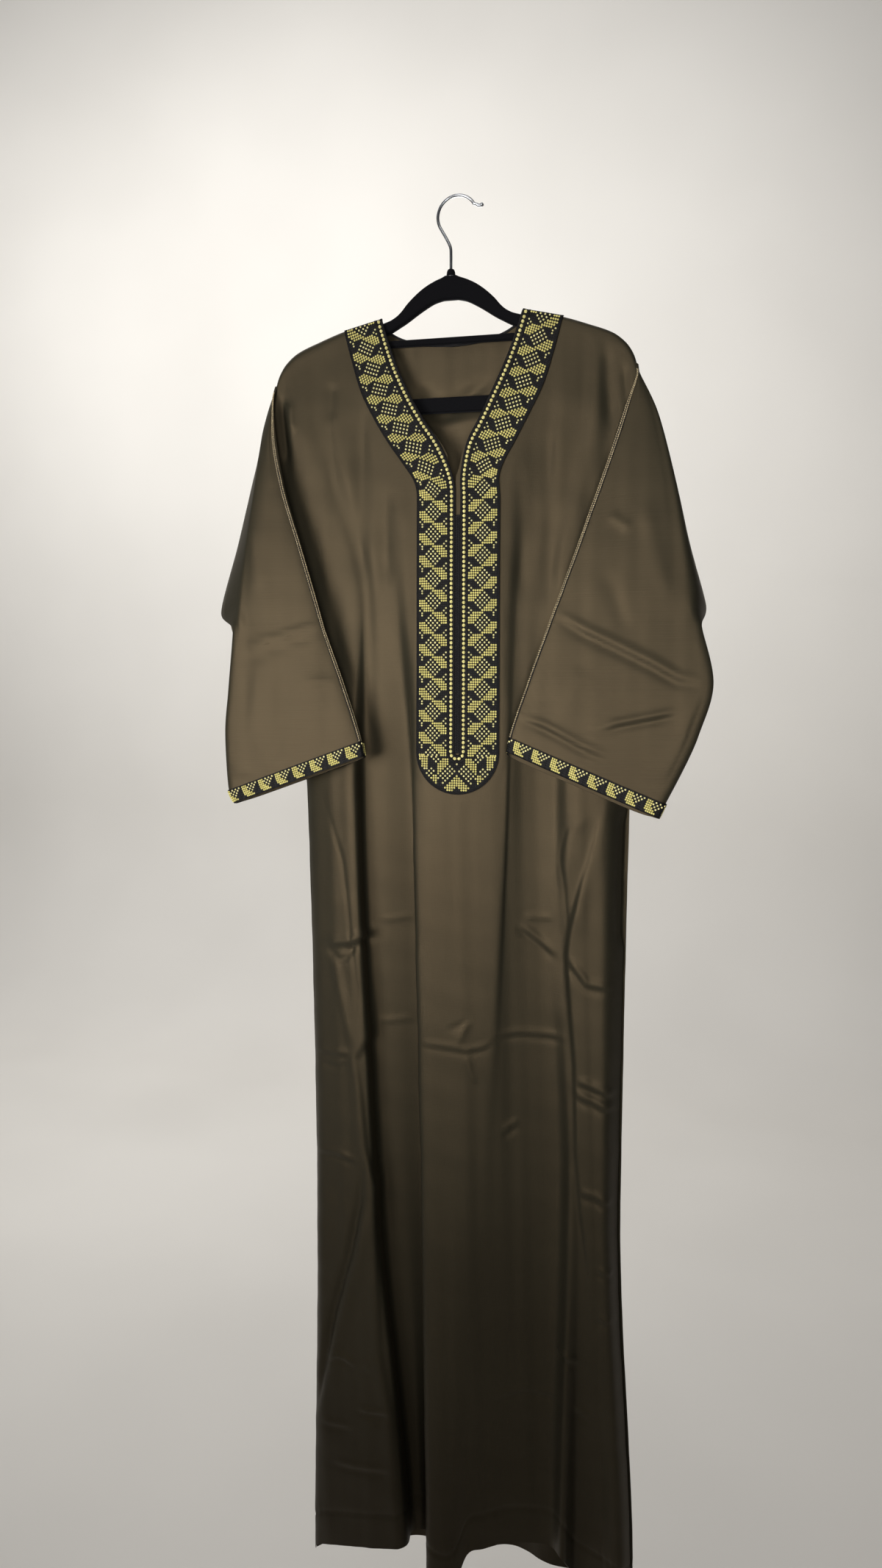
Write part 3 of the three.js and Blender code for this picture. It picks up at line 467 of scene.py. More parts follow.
SLEEVE_CREASES = {"left": LEFT_SLEEVE_CREASES, "right": RIGHT_SLEEVE_CREASES}

# Soft waves of hanging cloth: height, length across and down, and where each starts.
WAVES = [
    (0.55, 46, 900, 0.3),
    (0.45, 31, 1400, 1.7),
    (0.30, 19, 700, 2.9),
    (0.35, 160, 130, 0.9),
    (0.25, 90, 61, 2.2),
    (0.18, 230, 37, 4.0),
]


def crease_lift(x, z, crease):
    """How far one crease moves the cloth outwards at each point."""
    kind, height, half, line = crease
    best = np.full(x.shape, 1e9)
    side, along = np.zeros(x.shape), np.zeros(x.shape)
    run = 0.0
    for (ax, az), (bx, bz) in zip(line[:-1], line[1:]):
        dx, dz = bx - ax, bz - az
        length = math.hypot(dx, dz)
        part = np.clip(((x - ax) * dx + (z - az) * dz) / length ** 2, 0, 1)
        away = np.hypot(x - ax - part * dx, z - az - part * dz)
        cross = dz * (x - ax) - dx * (z - az)
        nearer = away < best
        best = np.where(nearer, away, best)
        side = np.where(nearer, np.sign(cross), side)
        along = np.where(nearer, run + part * length, along)
        run += length
    ramp = 0.3 * run
    fade = smooth(along / ramp + 0.15) * smooth((run - along) / ramp + 0.15)
    signed = best * side
    if kind == "ridge":
        shape = hump(best, half)
    elif kind == "trough":
        shape = -hump(best, half)
    elif kind == "fold":
        shape = hump(best, half) - 0.8 * hump(signed - 1.5 * half, half)
    else:
        shape = np.tanh(signed / half) * hump(signed, 4.5 * half)
    return height * shape * fade


def creased(x, z, creases):
    return sum(crease_lift(x, z, crease) for crease in creases)


def rippled(x, z, size, phase):
    return size * sum(height * np.sin(2 * math.pi * (x / across + z / down) + start + phase)
                      for height, across, down, start in WAVES)


# ---- meshes
def grid_normals(grid):
    return unit(np.cross(np.gradient(grid, axis=1), np.gradient(grid, axis=0)))


def thread_uv(grid):
    """Distances along the cloth across and down, in centimetres."""
    across = np.linalg.norm(np.diff(grid, axis=0), axis=2)
    run = np.concatenate([np.zeros((1, grid.shape[1])), np.cumsum(across, axis=0)])
    run = run - run[grid.shape[0] // 2]
    return np.stack([run, grid[..., 2]], -1) / 10


def add_mesh(name, points, faces, material, uv=None, sharp=50):
    mesh = bpy.data.meshes.new(name)
    mesh.from_pydata((np.asarray(points) * MM).tolist(), [], faces)
    mesh.polygons.foreach_set("use_smooth", [True] * len(mesh.polygons))
    if uv is not None:
        corners = np.empty(len(mesh.loops), int)
        mesh.loops.foreach_get("vertex_index", corners)
        layer = mesh.uv_layers.new(name="thread")
        layer.data.foreach_set("uv", uv[corners].ravel())
    mesh.materials.append(material)
    mesh.validate()
    mesh.update()
    mesh.set_sharp_from_angle(angle=math.radians(sharp))
    piece = bpy.data.objects.new(name, mesh)
    bpy.context.scene.collection.objects.link(piece)
    return piece


def shell(name, grid, thickness, material, uv=None, slit=None):
    """A closed thin shell on a grid of points, whose inside has every other line.

    slit is a column and a row: the shell parts right of that column above that row, and below
    it the next column's points are welded to the column's."""
    uv = thread_uv(grid) if uv is None else uv
    columns, rows = grid.shape[0] - 1, grid.shape[1] - 1
    offset = grid_normals(grid) * thickness / 2
    parted, open_rows = slit or (columns, 0)
    kept = [*range(0, parted + 1, 2), *range(parted + 1, columns + 1, 2)]
    near = len(range(0, parted + 1, 2)) - 1
    number = np.arange((columns + 1) * (rows + 1)).reshape(columns + 1, rows + 1)
    inside = number.size + np.arange(len(kept) * (rows // 2 + 1)).reshape(len(kept), -1)
    if slit:
        number[parted + 1, open_rows:] = number[parted, open_rows:]
        inside[near + 1, open_rows // 2:] = inside[near, open_rows // 2:]
    faces = []
    for i in range(columns):
        if i != parted:
            a, b = number[i], number[i + 1]
            faces += list(zip(a[:-1], a[1:], b[1:], b[:-1]))
    for k, (i, far) in enumerate(zip(kept[:-1], kept[1:])):
        if i != parted:
            a, b = inside[k], inside[k + 1]
            faces += list(zip(a[:-1], b[:-1], b[1:], a[1:]))
            faces.append([*number[i:far + 1, 0], b[0], a[0]])
            faces.append([*number[i:far + 1, -1][::-1], a[-1], b[-1]])

    def edge(i, k, last, is_start):
        for j in range(0, last, 2):
            face = [*number[i, j:j + 3], inside[k, j // 2 + 1], inside[k, j // 2]]
            faces.append(face[::-1] if is_start else face)

    edge(0, 0, rows, True)
    edge(columns, len(kept) - 1, rows, False)
    if slit:
        edge(parted, near, open_rows, False)
        edge(parted + 1, near + 1, open_rows, True)
    used, renumbered = np.unique(np.concatenate(faces), return_inverse=True)
    corners = iter(renumbered.tolist())
    faces = [[next(corners) for _ in face] for face in faces]

    def both(outer, inner):
        width = outer.shape[-1]
        values = [outer.reshape(-1, width), inner[kept][:, ::2].reshape(-1, width)]
        return np.concatenate(values)[used]

    return add_mesh(name, both(grid + offset, grid - offset), faces, material, both(uv, uv))


def ring_faces(rings, sides, closed=False):
    """Faces between rings of points; closed joins the last ring to the first."""
    faces = []
    for ring in range(rings if closed else rings - 1):
        for k in range(sides):
            n, up = (k + 1) % sides, (ring + 1) % rings
            faces.append((ring * sides + k, ring * sides + n, up * sides + n, up * sides + k))
    return faces


def dome(sides, square=0.0):
    """A closed low dome of unit size: its points and its faces."""
    turn = np.arange(sides) * 2 * math.pi / sides + math.pi / sides
    x, y = np.cos(turn), np.sin(turn)
    reach = lerp(1, 1 / np.maximum(np.abs(x), np.abs(y)), square)
    rings = [(1.0, -0.15), (0.86, 0.55), (0.45, 0.92)]
    points = [(x[k] * reach[k] * r, y[k] * reach[k] * r, h) for r, h in rings for k in range(sides)]
    points.append((0, 0, 1))
    faces = ring_faces(len(rings), sides)
    faces += [(2 * sides + k, 2 * sides + (k + 1) % sides, 3 * sides) for k in range(sides)]
    faces.append(tuple(reversed(range(sides))))
    return np.array(points, float), faces


def scatter(name, template, places, along, normals, size, material):
    """Copies of a template at places, with its x along the given directions."""
    points, faces = template
    normals = unit(normals)
    side = unit(np.cross(normals, along))
    along = unit(np.cross(side, normals))
    size = np.broadcast_to(np.asarray(size, float), (len(places), 3))
    local = points[None] * size[:, None]
    where = (places[:, None] + local[..., :1] * along[:, None] + local[..., 1:2] * side[:, None]
             + local[..., 2:] * normals[:, None])
    count = len(points)
    all_faces = [tuple(v + count * k for v in face) for k in range(len(places)) for face in faces]
    return add_mesh(name, where.reshape(-1, 3), all_faces, material, sharp=60)


def tube(name, path, radius, sides, material):
    """A closed tube along a path, with flat ends; radius is one number, or one for each point."""
    radius = np.broadcast_to(np.asarray(radius, float), (len(path),))
    ahead = unit(np.gradient(path, axis=0))
    normal = unit(np.cross(ahead[0], (0.3, 1, 0.2)))
    turn = np.arange(sides) * 2 * math.pi / sides
    points = []
    for centre, r, direction in zip(path, radius, ahead):
        normal = unit(normal - direction * (normal @ direction))
        second = np.cross(direction, normal)
        points += [centre + r * (math.cos(t) * normal + math.sin(t) * second) for t in turn]
    faces = ring_faces(len(path), sides)
    faces.append(tuple(reversed(range(sides))))
    faces.append(tuple(range((len(path) - 1) * sides, len(path) * sides)))
    return add_mesh(name, points, faces, material, sharp=70)


# ---- materials
def srgb(red, green, blue):
    """A colour as a screen shows it, 0 to 255, made linear."""
    def linear(value):
        value = value / 255
        return value / 12.92 if value <= 0.04045 else ((value + 0.055) / 1.055) ** 2.4
    return (linear(red), linear(green), linear(blue), 1.0)


IN_METRES = (1, 1, 1)
IN_MM = (1000, 1000, 1000)


class Finish:
    """A node material with a Principled shader, and short ways to add nodes to it.

    A value that is a node's output is linked to its socket; any other is set on it."""

    def __init__(self, name, roughness, **sockets):
        self.material = bpy.data.materials.new(name)
        self.material.use_nodes = True
        self.tree = self.material.node_tree
        self.shader = self.tree.nodes["Principled BSDF"]
        self.set(self.shader, Roughness=roughness, **sockets)

    def feed(self, socket, value):
        if isinstance(value, bpy.types.NodeSocket):
            self.tree.links.new(value, socket)
        else:
            socket.default_value = value

    def set(self, node, **values):
        for key, value in values.items():
            if hasattr(node, key):
                setattr(node, key, value)
            elif value is not None:
                self.feed(node.inputs[key.replace("_", " ")], value)

    def node(self, kind, output, **values):
        made = self.tree.nodes.new("ShaderNode" + kind)
        self.set(made, **values)
        return made.outputs[output]

    def place(self, source, scale):
        """Texture places from the thread UVs or the object's own, scaled."""
        where = self.node("TexCoord", source)
        return self.node("Mapping", "Vector", Vector=where, Scale=scale)

    def noise(self, where, scale, detail, roughness=0.5):
        return self.node("TexNoise", "Fac", Vector=where, Scale=scale, Detail=detail,
                         Roughness=roughness)

    def wave(self, where, scale, distortion=0.0, **settings):
        return self.node("TexWave", "Fac", Vector=where, Scale=scale, Distortion=distortion,
                         **settings)

    def math(self, operation, *values):
        made = self.tree.nodes.new("ShaderNodeMath")
        made.operation = operation
        for socket, value in zip(made.inputs, values):
            self.feed(socket, value)
        return made.outputs["Value"]

    def ramp(self, value, low, high, start, end):
        made = self.tree.nodes.new("ShaderNodeValToRGB")
        first, last = made.color_ramp.elements
        first.position, first.color = start, low
        last.position, last.color = end, high
        self.feed(made.inputs["Fac"], value)
        return made.outputs["Color"]

    def bump(self, height, strength, distance, before=None):
        return self.node("Bump", "Normal", Height=height, Strength=strength,
                         Distance=distance * MM, Normal=before)

    def finish(self, colour, bump=None):
        self.set(self.shader, Base_Color=colour, Normal=bump)
        return self.material


def cloth_material():
    """Plain olive-brown cloth with a soft satin sheen, a fine weave and thicker threads."""
    cloth = Finish("cloth", 0.50, Specular_IOR_Level=0.45, Specular_Tint=(1.0, 0.72, 0.42, 1.0),
                   Sheen_Weight=0.04, Sheen_Roughness=0.4, Sheen_Tint=srgb(168, 150, 118))
    patches = cloth.noise(cloth.place("Object", IN_METRES), 3.2, 3.0)
    weft = cloth.noise(cloth.place("UV", (0.10, 2.4, 1)), 6.0, 2.0)
    warp = cloth.noise(cloth.place("UV", (2.8, 0.10, 1)), 6.0, 2.0)
    both = cloth.math("ADD", weft, warp)
    blend = cloth.math("MULTIPLY_ADD", both, 0.34, patches)
    colour = cloth.ramp(blend, srgb(31, 31, 25), srgb(41, 40, 32), 0.62, 1.05)
    weave = cloth.wave(cloth.place("UV", (1, 1, 1)), 11.0, bands_direction="DIAGONAL")
    return cloth.finish(colour, cloth.bump(both, 0.30, 0.30, cloth.bump(weave, 0.12, 0.12)))


def thread_material(name, dark, light, roughness=0.5, sheen=0.2, gloss=0.5):
    """Shiny embroidery thread: strands across each stitch."""
    thread = Finish(name, roughness, Specular_IOR_Level=gloss, Sheen_Weight=sheen)
    where = thread.place("Object", IN_MM)
    colour = thread.ramp(thread.noise(where, 0.9, 2.0), dark, light, 0.32, 0.66)
    return thread.finish(colour, thread.bump(thread.wave(where, 2.5, 1.5), 0.35, 0.25))


def ground_material():
    """The black ground of the bands, closely stitched."""
    ground = Finish("band_ground", 0.65, Specular_IOR_Level=0.16)
    wave = ground.wave(ground.place("UV", (1, 1, 1)), 2.6, 2.0, bands_direction="DIAGONAL")
    colour = ground.ramp(wave, srgb(5, 5, 6), srgb(19, 18, 19), 0.2, 0.95)
    return ground.finish(colour, ground.bump(wave, 0.5, 0.4))


def velvet_material():
    velvet = Finish("velvet", 0.92, Specular_IOR_Level=0.1, Sheen_Weight=0.12,
                    Sheen_Roughness=0.4, Sheen_Tint=srgb(120, 122, 132))
    noise = velvet.noise(velvet.place("Object", IN_MM), 1.4, 4.0, 0.7)
    colour = velvet.ramp(noise, srgb(5, 5, 7), srgb(17, 17, 20), 0.3, 0.75)
    return velvet.finish(colour, velvet.bump(noise, 0.35, 0.35))


def chrome_material():
    chrome = Finish("chrome", 0.24, Metallic=1.0)
    noise = chrome.noise(chrome.place("Object", (100, 100, 100)), 0.6, 3.0)
    colour = chrome.ramp(noise, srgb(146, 149, 155), srgb(194, 197, 202), 0.3, 0.7)
    return chrome.finish(colour, chrome.bump(noise, 0.02, 0.01))


GOLD = thread_material("gold_thread", srgb(176, 164, 84), srgb(236, 226, 140))
CREAM = thread_material("cream_thread", srgb(206, 196, 122), srgb(246, 238, 176))
BEADS = thread_material("bead_thread", srgb(196, 184, 102), srgb(244, 234, 160), 0.38)
BLACK = thread_material("black_thread", srgb(6, 6, 7), srgb(25, 23, 25), sheen=0.0, gloss=0.3)
BRONZE = thread_material("bronze_thread", srgb(112, 97, 70), srgb(196, 178, 138), 0.42)
GROUND = ground_material()
VELVET = velvet_material()
CHROME = chrome_material()
FABRIC = cloth_material()


def part_of(piece, slot, *nodes):
    """A finished piece: it rides on the body, and stands for the CAD nodes it replaces."""
    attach(piece, BODY)
    if nodes:
        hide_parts(*nodes)
    return piece


# ---- front and back
TOP_ROWS = np.array([0, 0.8, 1.8, 3.2, 5, 8, 12, 17, 24])    # drops below the top edge
WAIST_Z = -470               # rows are even above it, and even again below it
HEM_STITCH = 43              # from the hem's edge to its line of blind stitches
POCKET_TOP, POCKET_FOOT = -653, -813
POCKET_RAMP = 22             # how far the pocket's mouth takes to open fully
SHOULDER_RAMP = 30           # how far below the shoulder seam creases reach their height


def hanging(folds, u, top, upper, lower):
    """A grid down the cloth: rows close below its top edge, then even to the waist and hem."""
    first = top[:, None] - TOP_ROWS
    to_waist = lerp(first[:, -1:], WAIST_Z, np.linspace(0, 1, upper + 1)[1:])
    hem = through([fold[0] for fold in folds], u)[:, None]
    to_hem = lerp(WAIST_Z, hem, np.linspace(0, 1, lower + 1)[1:])
    heights = np.concatenate([first, to_waist, to_hem], axis=1)
    return body_point(folds, np.repeat(u[:, None], heights.shape[1], 1), heights)


def band_mask(x, z):
    """0 under the embroidered bands and 1 clear of them."""
    from_leg = np.abs(x - centre_x(z)) - PLACKET_OUT
    from_foot = np.hypot(x - centre_x(SLIT_END_Z), z - SLIT_END_Z) - PLACKET_OUT
    from_neck = np.abs(x - centre_x(z)) - monotone(NECK[:, 3], NECK[:, 2], z)
    away = np.where(z > PLACKET_TOP_Z, from_neck, np.where(z > SLIT_END_Z, from_leg, from_foot))
    return smooth((away - 2) / 9)


def wrinkled(x, z, creases, phase):
    """The lift of the creases of the front or back, and of its ripples."""
    return rippled(x, z, 0.4, phase) + creased(x, z, creases)


def hem_line(x, z):
    """The sunk line of blind stitches above the hem, with small puckers."""
    up = z - z[:, -1:] - HEM_STITCH
    pucker = np.sin(x * 0.83 + 0.6 * np.sin(x * 0.19)) * np.sin(x * 0.071 + 1.2)
    return -0.9 * hump(up, 2.6) + 0.35 * pucker * hump(up - 1, 7)


def open_pocket(grid):
    """The mouth of the pocket in the right side seam: the front's edge stands off and back."""
    z = grid[-1:, :, 2]
    mouth = smooth((POCKET_TOP - z) / POCKET_RAMP) * smooth((z - POCKET_FOOT) / POCKET_RAMP)
    away = grid[-1:, :, 0] - grid[..., 0]
    near, stitch = hump(away, 11), hump(away - 4.5, 1.6)
    grid[..., 0] -= 3.6 * mouth * near
    grid[..., 1] -= 1.6 * mouth * near - 0.5 * mouth * stitch


def front_piece():
    left = spread(FRONT_FOLDS, 0, CENTRE_FOLD, 88)
    right = spread(FRONT_FOLDS, CENTRE_FOLD, len(FRONT_FOLDS) - 1, 110)
    u = np.concatenate([left, right])
    slit = len(left) - 1
    top = top_of(FRONT_FOLDS, u)
    top[[slit, slit + 1]] = V_POINT_Z
    grid = hanging(FRONT_FOLDS, u, top, 68, 312)
    x, z = grid[..., 0], grid[..., 2]
    open_rows = int(np.sum(z[slit] > SLIT_END_Z))
    open_rows += open_rows % 2
    gap = 0.35 + 1.5 * smooth((z[slit, :open_rows] + 346) / 26)    # half the slit's width
    x[slit, :open_rows] -= gap
    x[slit + 1, :open_rows] += gap
    uv = thread_uv(grid)
    lift = wrinkled(x, z, FRONT_CREASES, 0.0) * band_mask(x, z)
    lift = lift * smooth((shoulder_z(x) - z) / SHOULDER_RAMP) + hem_line(x, z)
    grid = grid + grid_normals(grid) * lift[..., None]
    open_pocket(grid)
    return shell("front_cloth", grid, CLOTH, FABRIC, uv, (slit, open_rows))


def back_piece():
    u = spread(BACK_FOLDS, 0, len(BACK_FOLDS) - 1, 160)
    grid = hanging(BACK_FOLDS, u, top_of(BACK_FOLDS, u), 60, 260)
    uv = thread_uv(grid)
    x, z = grid[..., 0], grid[..., 2]
    lift = wrinkled(x, z, BACK_CREASES, 1.3) * smooth((shoulder_z(x) - z) / SHOULDER_RAMP)
    lift = lift + hem_line(x, z)
    grid = grid - grid_normals(grid) * lift[..., None]
    # Below the sleeves the back's right edge stands out past the front's.
    beyond = smooth((z + 1650) / 60) * smooth((-560 - z) / 80)
    grid[..., 0] += 3 * beyond * hump(grid[-1:, :, 0] - grid[..., 0], 9)
    return shell("back_cloth", grid, CLOTH, FABRIC, uv)


front = part_of(front_piece(), "cloth", "front")
back = part_of(back_piece(), "cloth", "back")


# ---- bands on the front
def on_front(x, z, lift):
    """Points at x and z on the front, moved out by lift, and the normals there."""
    u = fold_at(FRONT_FOLDS, x, z)
    across = body_point(FRONT_FOLDS, u + 0.02, z) - body_point(FRONT_FOLDS, u - 0.02, z)
    down = body_point(FRONT_FOLDS, u, z - 0.5) - body_point(FRONT_FOLDS, u, z + 0.5)
    normal = unit(np.cross(down, across))
    return body_point(FRONT_FOLDS, u, z) + normal * lift, normal


def neck_place(side, t, w):
    """The place on the neck band at row t of NECK and w from the opening's edge."""
    part = (w - PLACKET_IN) / (PLACKET_OUT - PLACKET_IN)
    inner, inner_z, outer, outer_z = [through(column, t) for column in NECK.T]
    z = lerp(inner_z, outer_z, part)
    x = centre_x(inner_z) + side * lerp(inner, outer, part)
    return x, z


def leg_place(side, z, w):
    return centre_x(z) + side * w, z + 0 * w


def foot_place(side, angle, w):
    x = centre_x(SLIT_END_Z) + side * w * np.cos(angle)
    return x, SLIT_END_Z - w * np.sin(angle)


EDGE_CORD, BEAD_AT, INNER_CORD = 4.1, 7, 10.6    # from the opening's edge
# Raised black cords on a band: distance from the opening's edge, half width and height.
CORDS = [(EDGE_CORD, 1.2, 0.8), (INNER_CORD, 1.1, 0.7), (43.9, 0.6, 0.5), (45.4, 0.6, 0.6)]
# The lines of a band's mesh, from the opening's edge: across each cord, and between the cords.
CORD_WIDTHS = {round(at + k * half / 2, 3) for at, half, _ in CORDS for k in range(-2, 3)}
PLAIN_WIDTHS = {2.8, 7.0, 9.0, 13.0, 17, 21, 25, 29, 33, 37, 40.5, 42.7, 46.2}
WIDTHS = np.array(sorted(CORD_WIDTHS | PLAIN_WIDTHS))
WIDTHS = WIDTHS[:len(WIDTHS) - 1 + len(WIDTHS) % 2]      # an odd number of lines
BAND_MIDDLE = 27
LEG_ROWS = np.linspace(PLACKET_TOP_Z, SLIT_END_Z, 97)
FOOT_ROWS = np.linspace(0, math.pi / 2, 29)[1:]


def cord_height(w):
    return sum(height * np.sqrt(np.clip(1 - ((w - at) / half) ** 2, 0, 1))
               for at, half, height in CORDS)


def band_shell(name, x, z, w, run):
    base, normal = on_front(x, z, BAND_LIFT)
    grid = base + normal * (cord_height(w) / 2)[..., None]
    return shell(name, grid, BAND, GROUND, np.stack([run, w], -1) / 10)


def neck_rows(count):
    return np.linspace(-0.04, len(NECK) - 1, count)


def neck_lengths():
    """Rows of NECK and how far down the band's middle line each is."""
    t = neck_rows(400)
    x, z = neck_place(1, t, BAND_MIDDLE)
    return t, running(np.hypot(np.diff(x), np.diff(z)))


def neck_band(side, name):
    t, w = np.meshgrid(neck_rows(97), WIDTHS, indexing="ij")
    x, z = neck_place(side, t, w)
    return band_shell(name, x, z, w, np.interp(t, *neck_lengths()))


def placket():
    """The band down both sides of the slit and round its foot, from the left to the right."""
    run = np.concatenate([PLACKET_TOP_Z - LEG_ROWS,
                          PLACKET_TOP_Z - SLIT_END_Z + BAND_MIDDLE * FOOT_ROWS])
    sides = []
    for side in (-1, 1):
        leg = leg_place(side, LEG_ROWS[:, None], WIDTHS)
        foot = foot_place(side, FOOT_ROWS[:, None], WIDTHS)
        w, length = np.broadcast_arrays(WIDTHS, run[:, None])
        rows = [np.concatenate([leg[k], foot[k]]) for k in (0, 1)] + [w, length]
        sides.append(rows if side < 0 else [row[-2::-1] for row in rows])
    return band_shell("placket_cloth", *[np.concatenate(pair) for pair in zip(*sides)])


# The repeat of the bands, from the outer edge to the opening: g gold, c cream lattice, a accent.
BAND_CHART = [
    ".a....ggggg.a",
    ".a...c.ggggg.",
    "....c.c.ggggg",
    "...c.c.c.gggg",
    "ggg.c.c.c.ggg",
    "gggg.c.c.c...",
    "ggggg.c.c....",
    ".ggggg.c....a",
    "a.ggggg....a.",
]
PITCH = 24
ROW_STEP = PITCH / len(BAND_CHART)
COLUMN_STEP = 2.45
FIRST_COLUMN = 42.2          # the outermost column of stitches, from the opening's edge

# The placket's round end, from its middle outwards; the rows run down from the slit's foot.
FOOT_CHART = [
    "   cg....c.c.gggg",
    "  c.ggg.c.c..gggg",
    " c..gggg.c...ggg ",
    "c...ggggg....ggg ",
    "...c.gggg....ggg ",
    "..c.c.ggg..c.cc  ",
    ".c.c.c.gg.c.c..  ",
    "..c.c.c.g..c.c   ",
    "g..c.c.c.gg.c    ",
    "gg..c.c.cggg.    ",
    "ggg..c...gg.     ",
    "gggg..c..g.      ",
    "ggggg.....       ",
    ".ggggg...        ",
    "..gggg.          ",
    "c.c.c            ",
]
FOOT_STEP = 2.6
FOOT_FIRST = 4.9             # from the slit's foot to the chart's first row
FOOT_INNER, FOOT_OUTER = 12, 42.6    # how near and how far from the slit's foot stitches lie

# What each letter is stitched in, and the size of a stitch.
STITCHES = {
    "g": ("gold", (1.07, 1.14, 0.8)),
    "c": ("cream", (1.06, 1.12, 0.9)),
    "a": ("cream", (1.0, 1.0, 0.9)),
    ".": ("black", (0.95, 0.85, 0.4)),
}
THREADS = {"gold": (GOLD, dome(8, 0.75)), "cream": (CREAM, dome(8, 0.5)), "black": (BLACK, dome(4))}


def sew(name, letters, places, along, normals):
    """A stitch for each letter; each thread's stitches are a piece."""
    for thread, (material, shape) in THREADS.items():
        chosen = [k for k, letter in enumerate(letters) if STITCHES[letter][0] == thread]
        if chosen:
            size = [STITCHES[letters[k]][1] for k in chosen]
            piece = scatter(f"{name}_{thread}", shape, places[chosen], along[chosen],
                            normals[chosen], size, material)
            part_of(piece, "embroidery")


def stitches(name, marks):
    """Stitches on the front from (letter, x, z, direction x, direction z)."""
    letters, *numbers = zip(*marks)
    x, z, dx, dz = np.array(numbers)
    places, normals = on_front(x, z, BAND_TOP)
    sew(name, letters, places, np.stack([dx, 0 * dx, dz], -1), normals)


def chart_marks(rows, place, first=0, step=1):
    """Marks of the repeat on a band; place(row, w) gives x and z."""
    marks = []
    for row in range(rows):
        for column, letter in enumerate(BAND_CHART[(first + step * row) % len(BAND_CHART)]):
            w = FIRST_COLUMN - column * COLUMN_STEP
            x, z = place(row, w)
            far_x, far_z = place(row, w + 1)
            marks.append((letter, x, z, far_x - x, far_z - z))
    return marks


def foot_marks():
    marks = []
    middle = centre_x(SLIT_END_Z)
    for row, letters in enumerate(FOOT_CHART):
        for column, letter in enumerate(letters):
            down, out = FOOT_FIRST + row * FOOT_STEP, column * FOOT_STEP
            if letter != " " and FOOT_INNER < math.hypot(down, out) < FOOT_OUTER:
                for side in (-1, 1) if column else (1,):
                    marks.append((letter, middle + side * out, SLIT_END_Z - down, 1.0, 0.0))
    return marks


def embroider():
    fine, run = neck_lengths()
    neck_count = int(run[-1] / ROW_STEP)
    leg_count = int((PLACKET_TOP_Z - SLIT_END_Z + FOOT_FIRST) / ROW_STEP)
    placket_marks = foot_marks()
    for name, side in OUTWARD.items():
        def on_neck(row, w, side=side):
            return neck_place(side, np.interp(run[-1] - (row + 0.5) * ROW_STEP, run, fine), w)

        def on_leg(row, w, side=side):
            return leg_place(side, PLACKET_TOP_Z - (row + 0.5) * ROW_STEP, w)

        # The neck's rows count back, up from the top of the placket.
        stitches(f"neck_stitch_{name}", chart_marks(neck_count, on_neck, -1, -1))
        placket_marks += chart_marks(leg_count, on_leg)
    stitches("placket_stitch", placket_marks)


def edge_path(side, w):
    """Points of the line w from the opening's edge, from the shoulder to the placket's foot."""
    places = [
        neck_place(side, neck_rows(200), w),
        leg_place(side, np.linspace(PLACKET_TOP_Z - 1, SLIT_END_Z, 140), w),
        foot_place(side, np.linspace(0.02, math.pi / 2, 30), w),
    ]
    return np.concatenate([np.stack(place, -1) for place in places])


def lay(name, path, pitch, size, sides, material, lift, slant):
    """Small domes along a line on the front."""
    points, ahead = walk(path, pitch)
    places, normals = on_front(points[:, 0], points[:, 1], lift)
    turn = np.array([[math.cos(slant), -math.sin(slant)], [math.sin(slant), math.cos(slant)]])
    ahead = ahead @ turn.T
    along = np.stack([ahead[:, 0], 0 * ahead[:, 0], ahead[:, 1]], -1)
    return scatter(name, dome(sides), places, along, normals, size, material)


placket_cloth = part_of(placket(), "embroidery", "placket_band")
for name, side in OUTWARD.items():
    piece = neck_band(side, f"neck_band_cloth_{name}")
    part_of(piece, "embroidery", f"neck_band_{name}")
embroider()

# Lines of domes along the opening: distance from its edge, pitch, a dome's size and sides,
# thread, lift above the band and slant.
TRIMS = {
    "beads": (BEAD_AT, 4.9, (1.95, 1.8, 1.6), 12, BEADS, 0.0, 0.0),
    "edge_braid": (EDGE_CORD, 2.3, (1.5, 0.85, 0.7), 6, BLACK, 0.45, 0.6),
    "inner_cord": (INNER_CORD, 2.1, (1.3, 0.75, 0.6), 6, BLACK, 0.4, -0.5),
}
for name, side in OUTWARD.items():
    for trim, (w, pitch, size, sides, thread, lift, slant) in TRIMS.items():
        row = lay(f"{trim}_{name}", edge_path(side, w), pitch, size, sides, thread,
                  BAND_TOP + lift, slant)
        if trim == "beads":
            part_of(row, "beads", f"bead_trim_{name}")
        else:
            part_of(row, "braid")

CLOSURE_TOP_Z = -338
CLOSURE_HALF = 2.6
CLOSURE_LIFT = 1.3
CLOSURE = 0.8                # thickness of the closure
PLAIT_OUT = 1.25             # from the line down the middle to each plait


def closure():
    z, w = np.meshgrid(np.linspace(CLOSURE_TOP_Z, SLIT_END_Z - 1, 121),
                       np.linspace(-CLOSURE_HALF, CLOSURE_HALF, 5), indexing="ij")
    grid, _ = on_front(centre_x(z) + w, z, CLOSURE_LIFT)
    return shell("closure_cloth", grid, CLOSURE, GROUND, np.stack([z, w], -1) / 10)


closure_cloth = part_of(closure(), "braid", "front_closure")
for name, side in OUTWARD.items():
    z = np.linspace(CLOSURE_TOP_Z - 1, SLIT_END_Z, 200)
    path = np.stack([centre_x(z) + side * PLAIT_OUT, z], -1)
    plait = lay(f"closure_plait_{name}", path, 2.6, (1.7, 0.85, 0.9), 8, BLACK, 1.7, side * 0.6)
    part_of(plait, "braid")


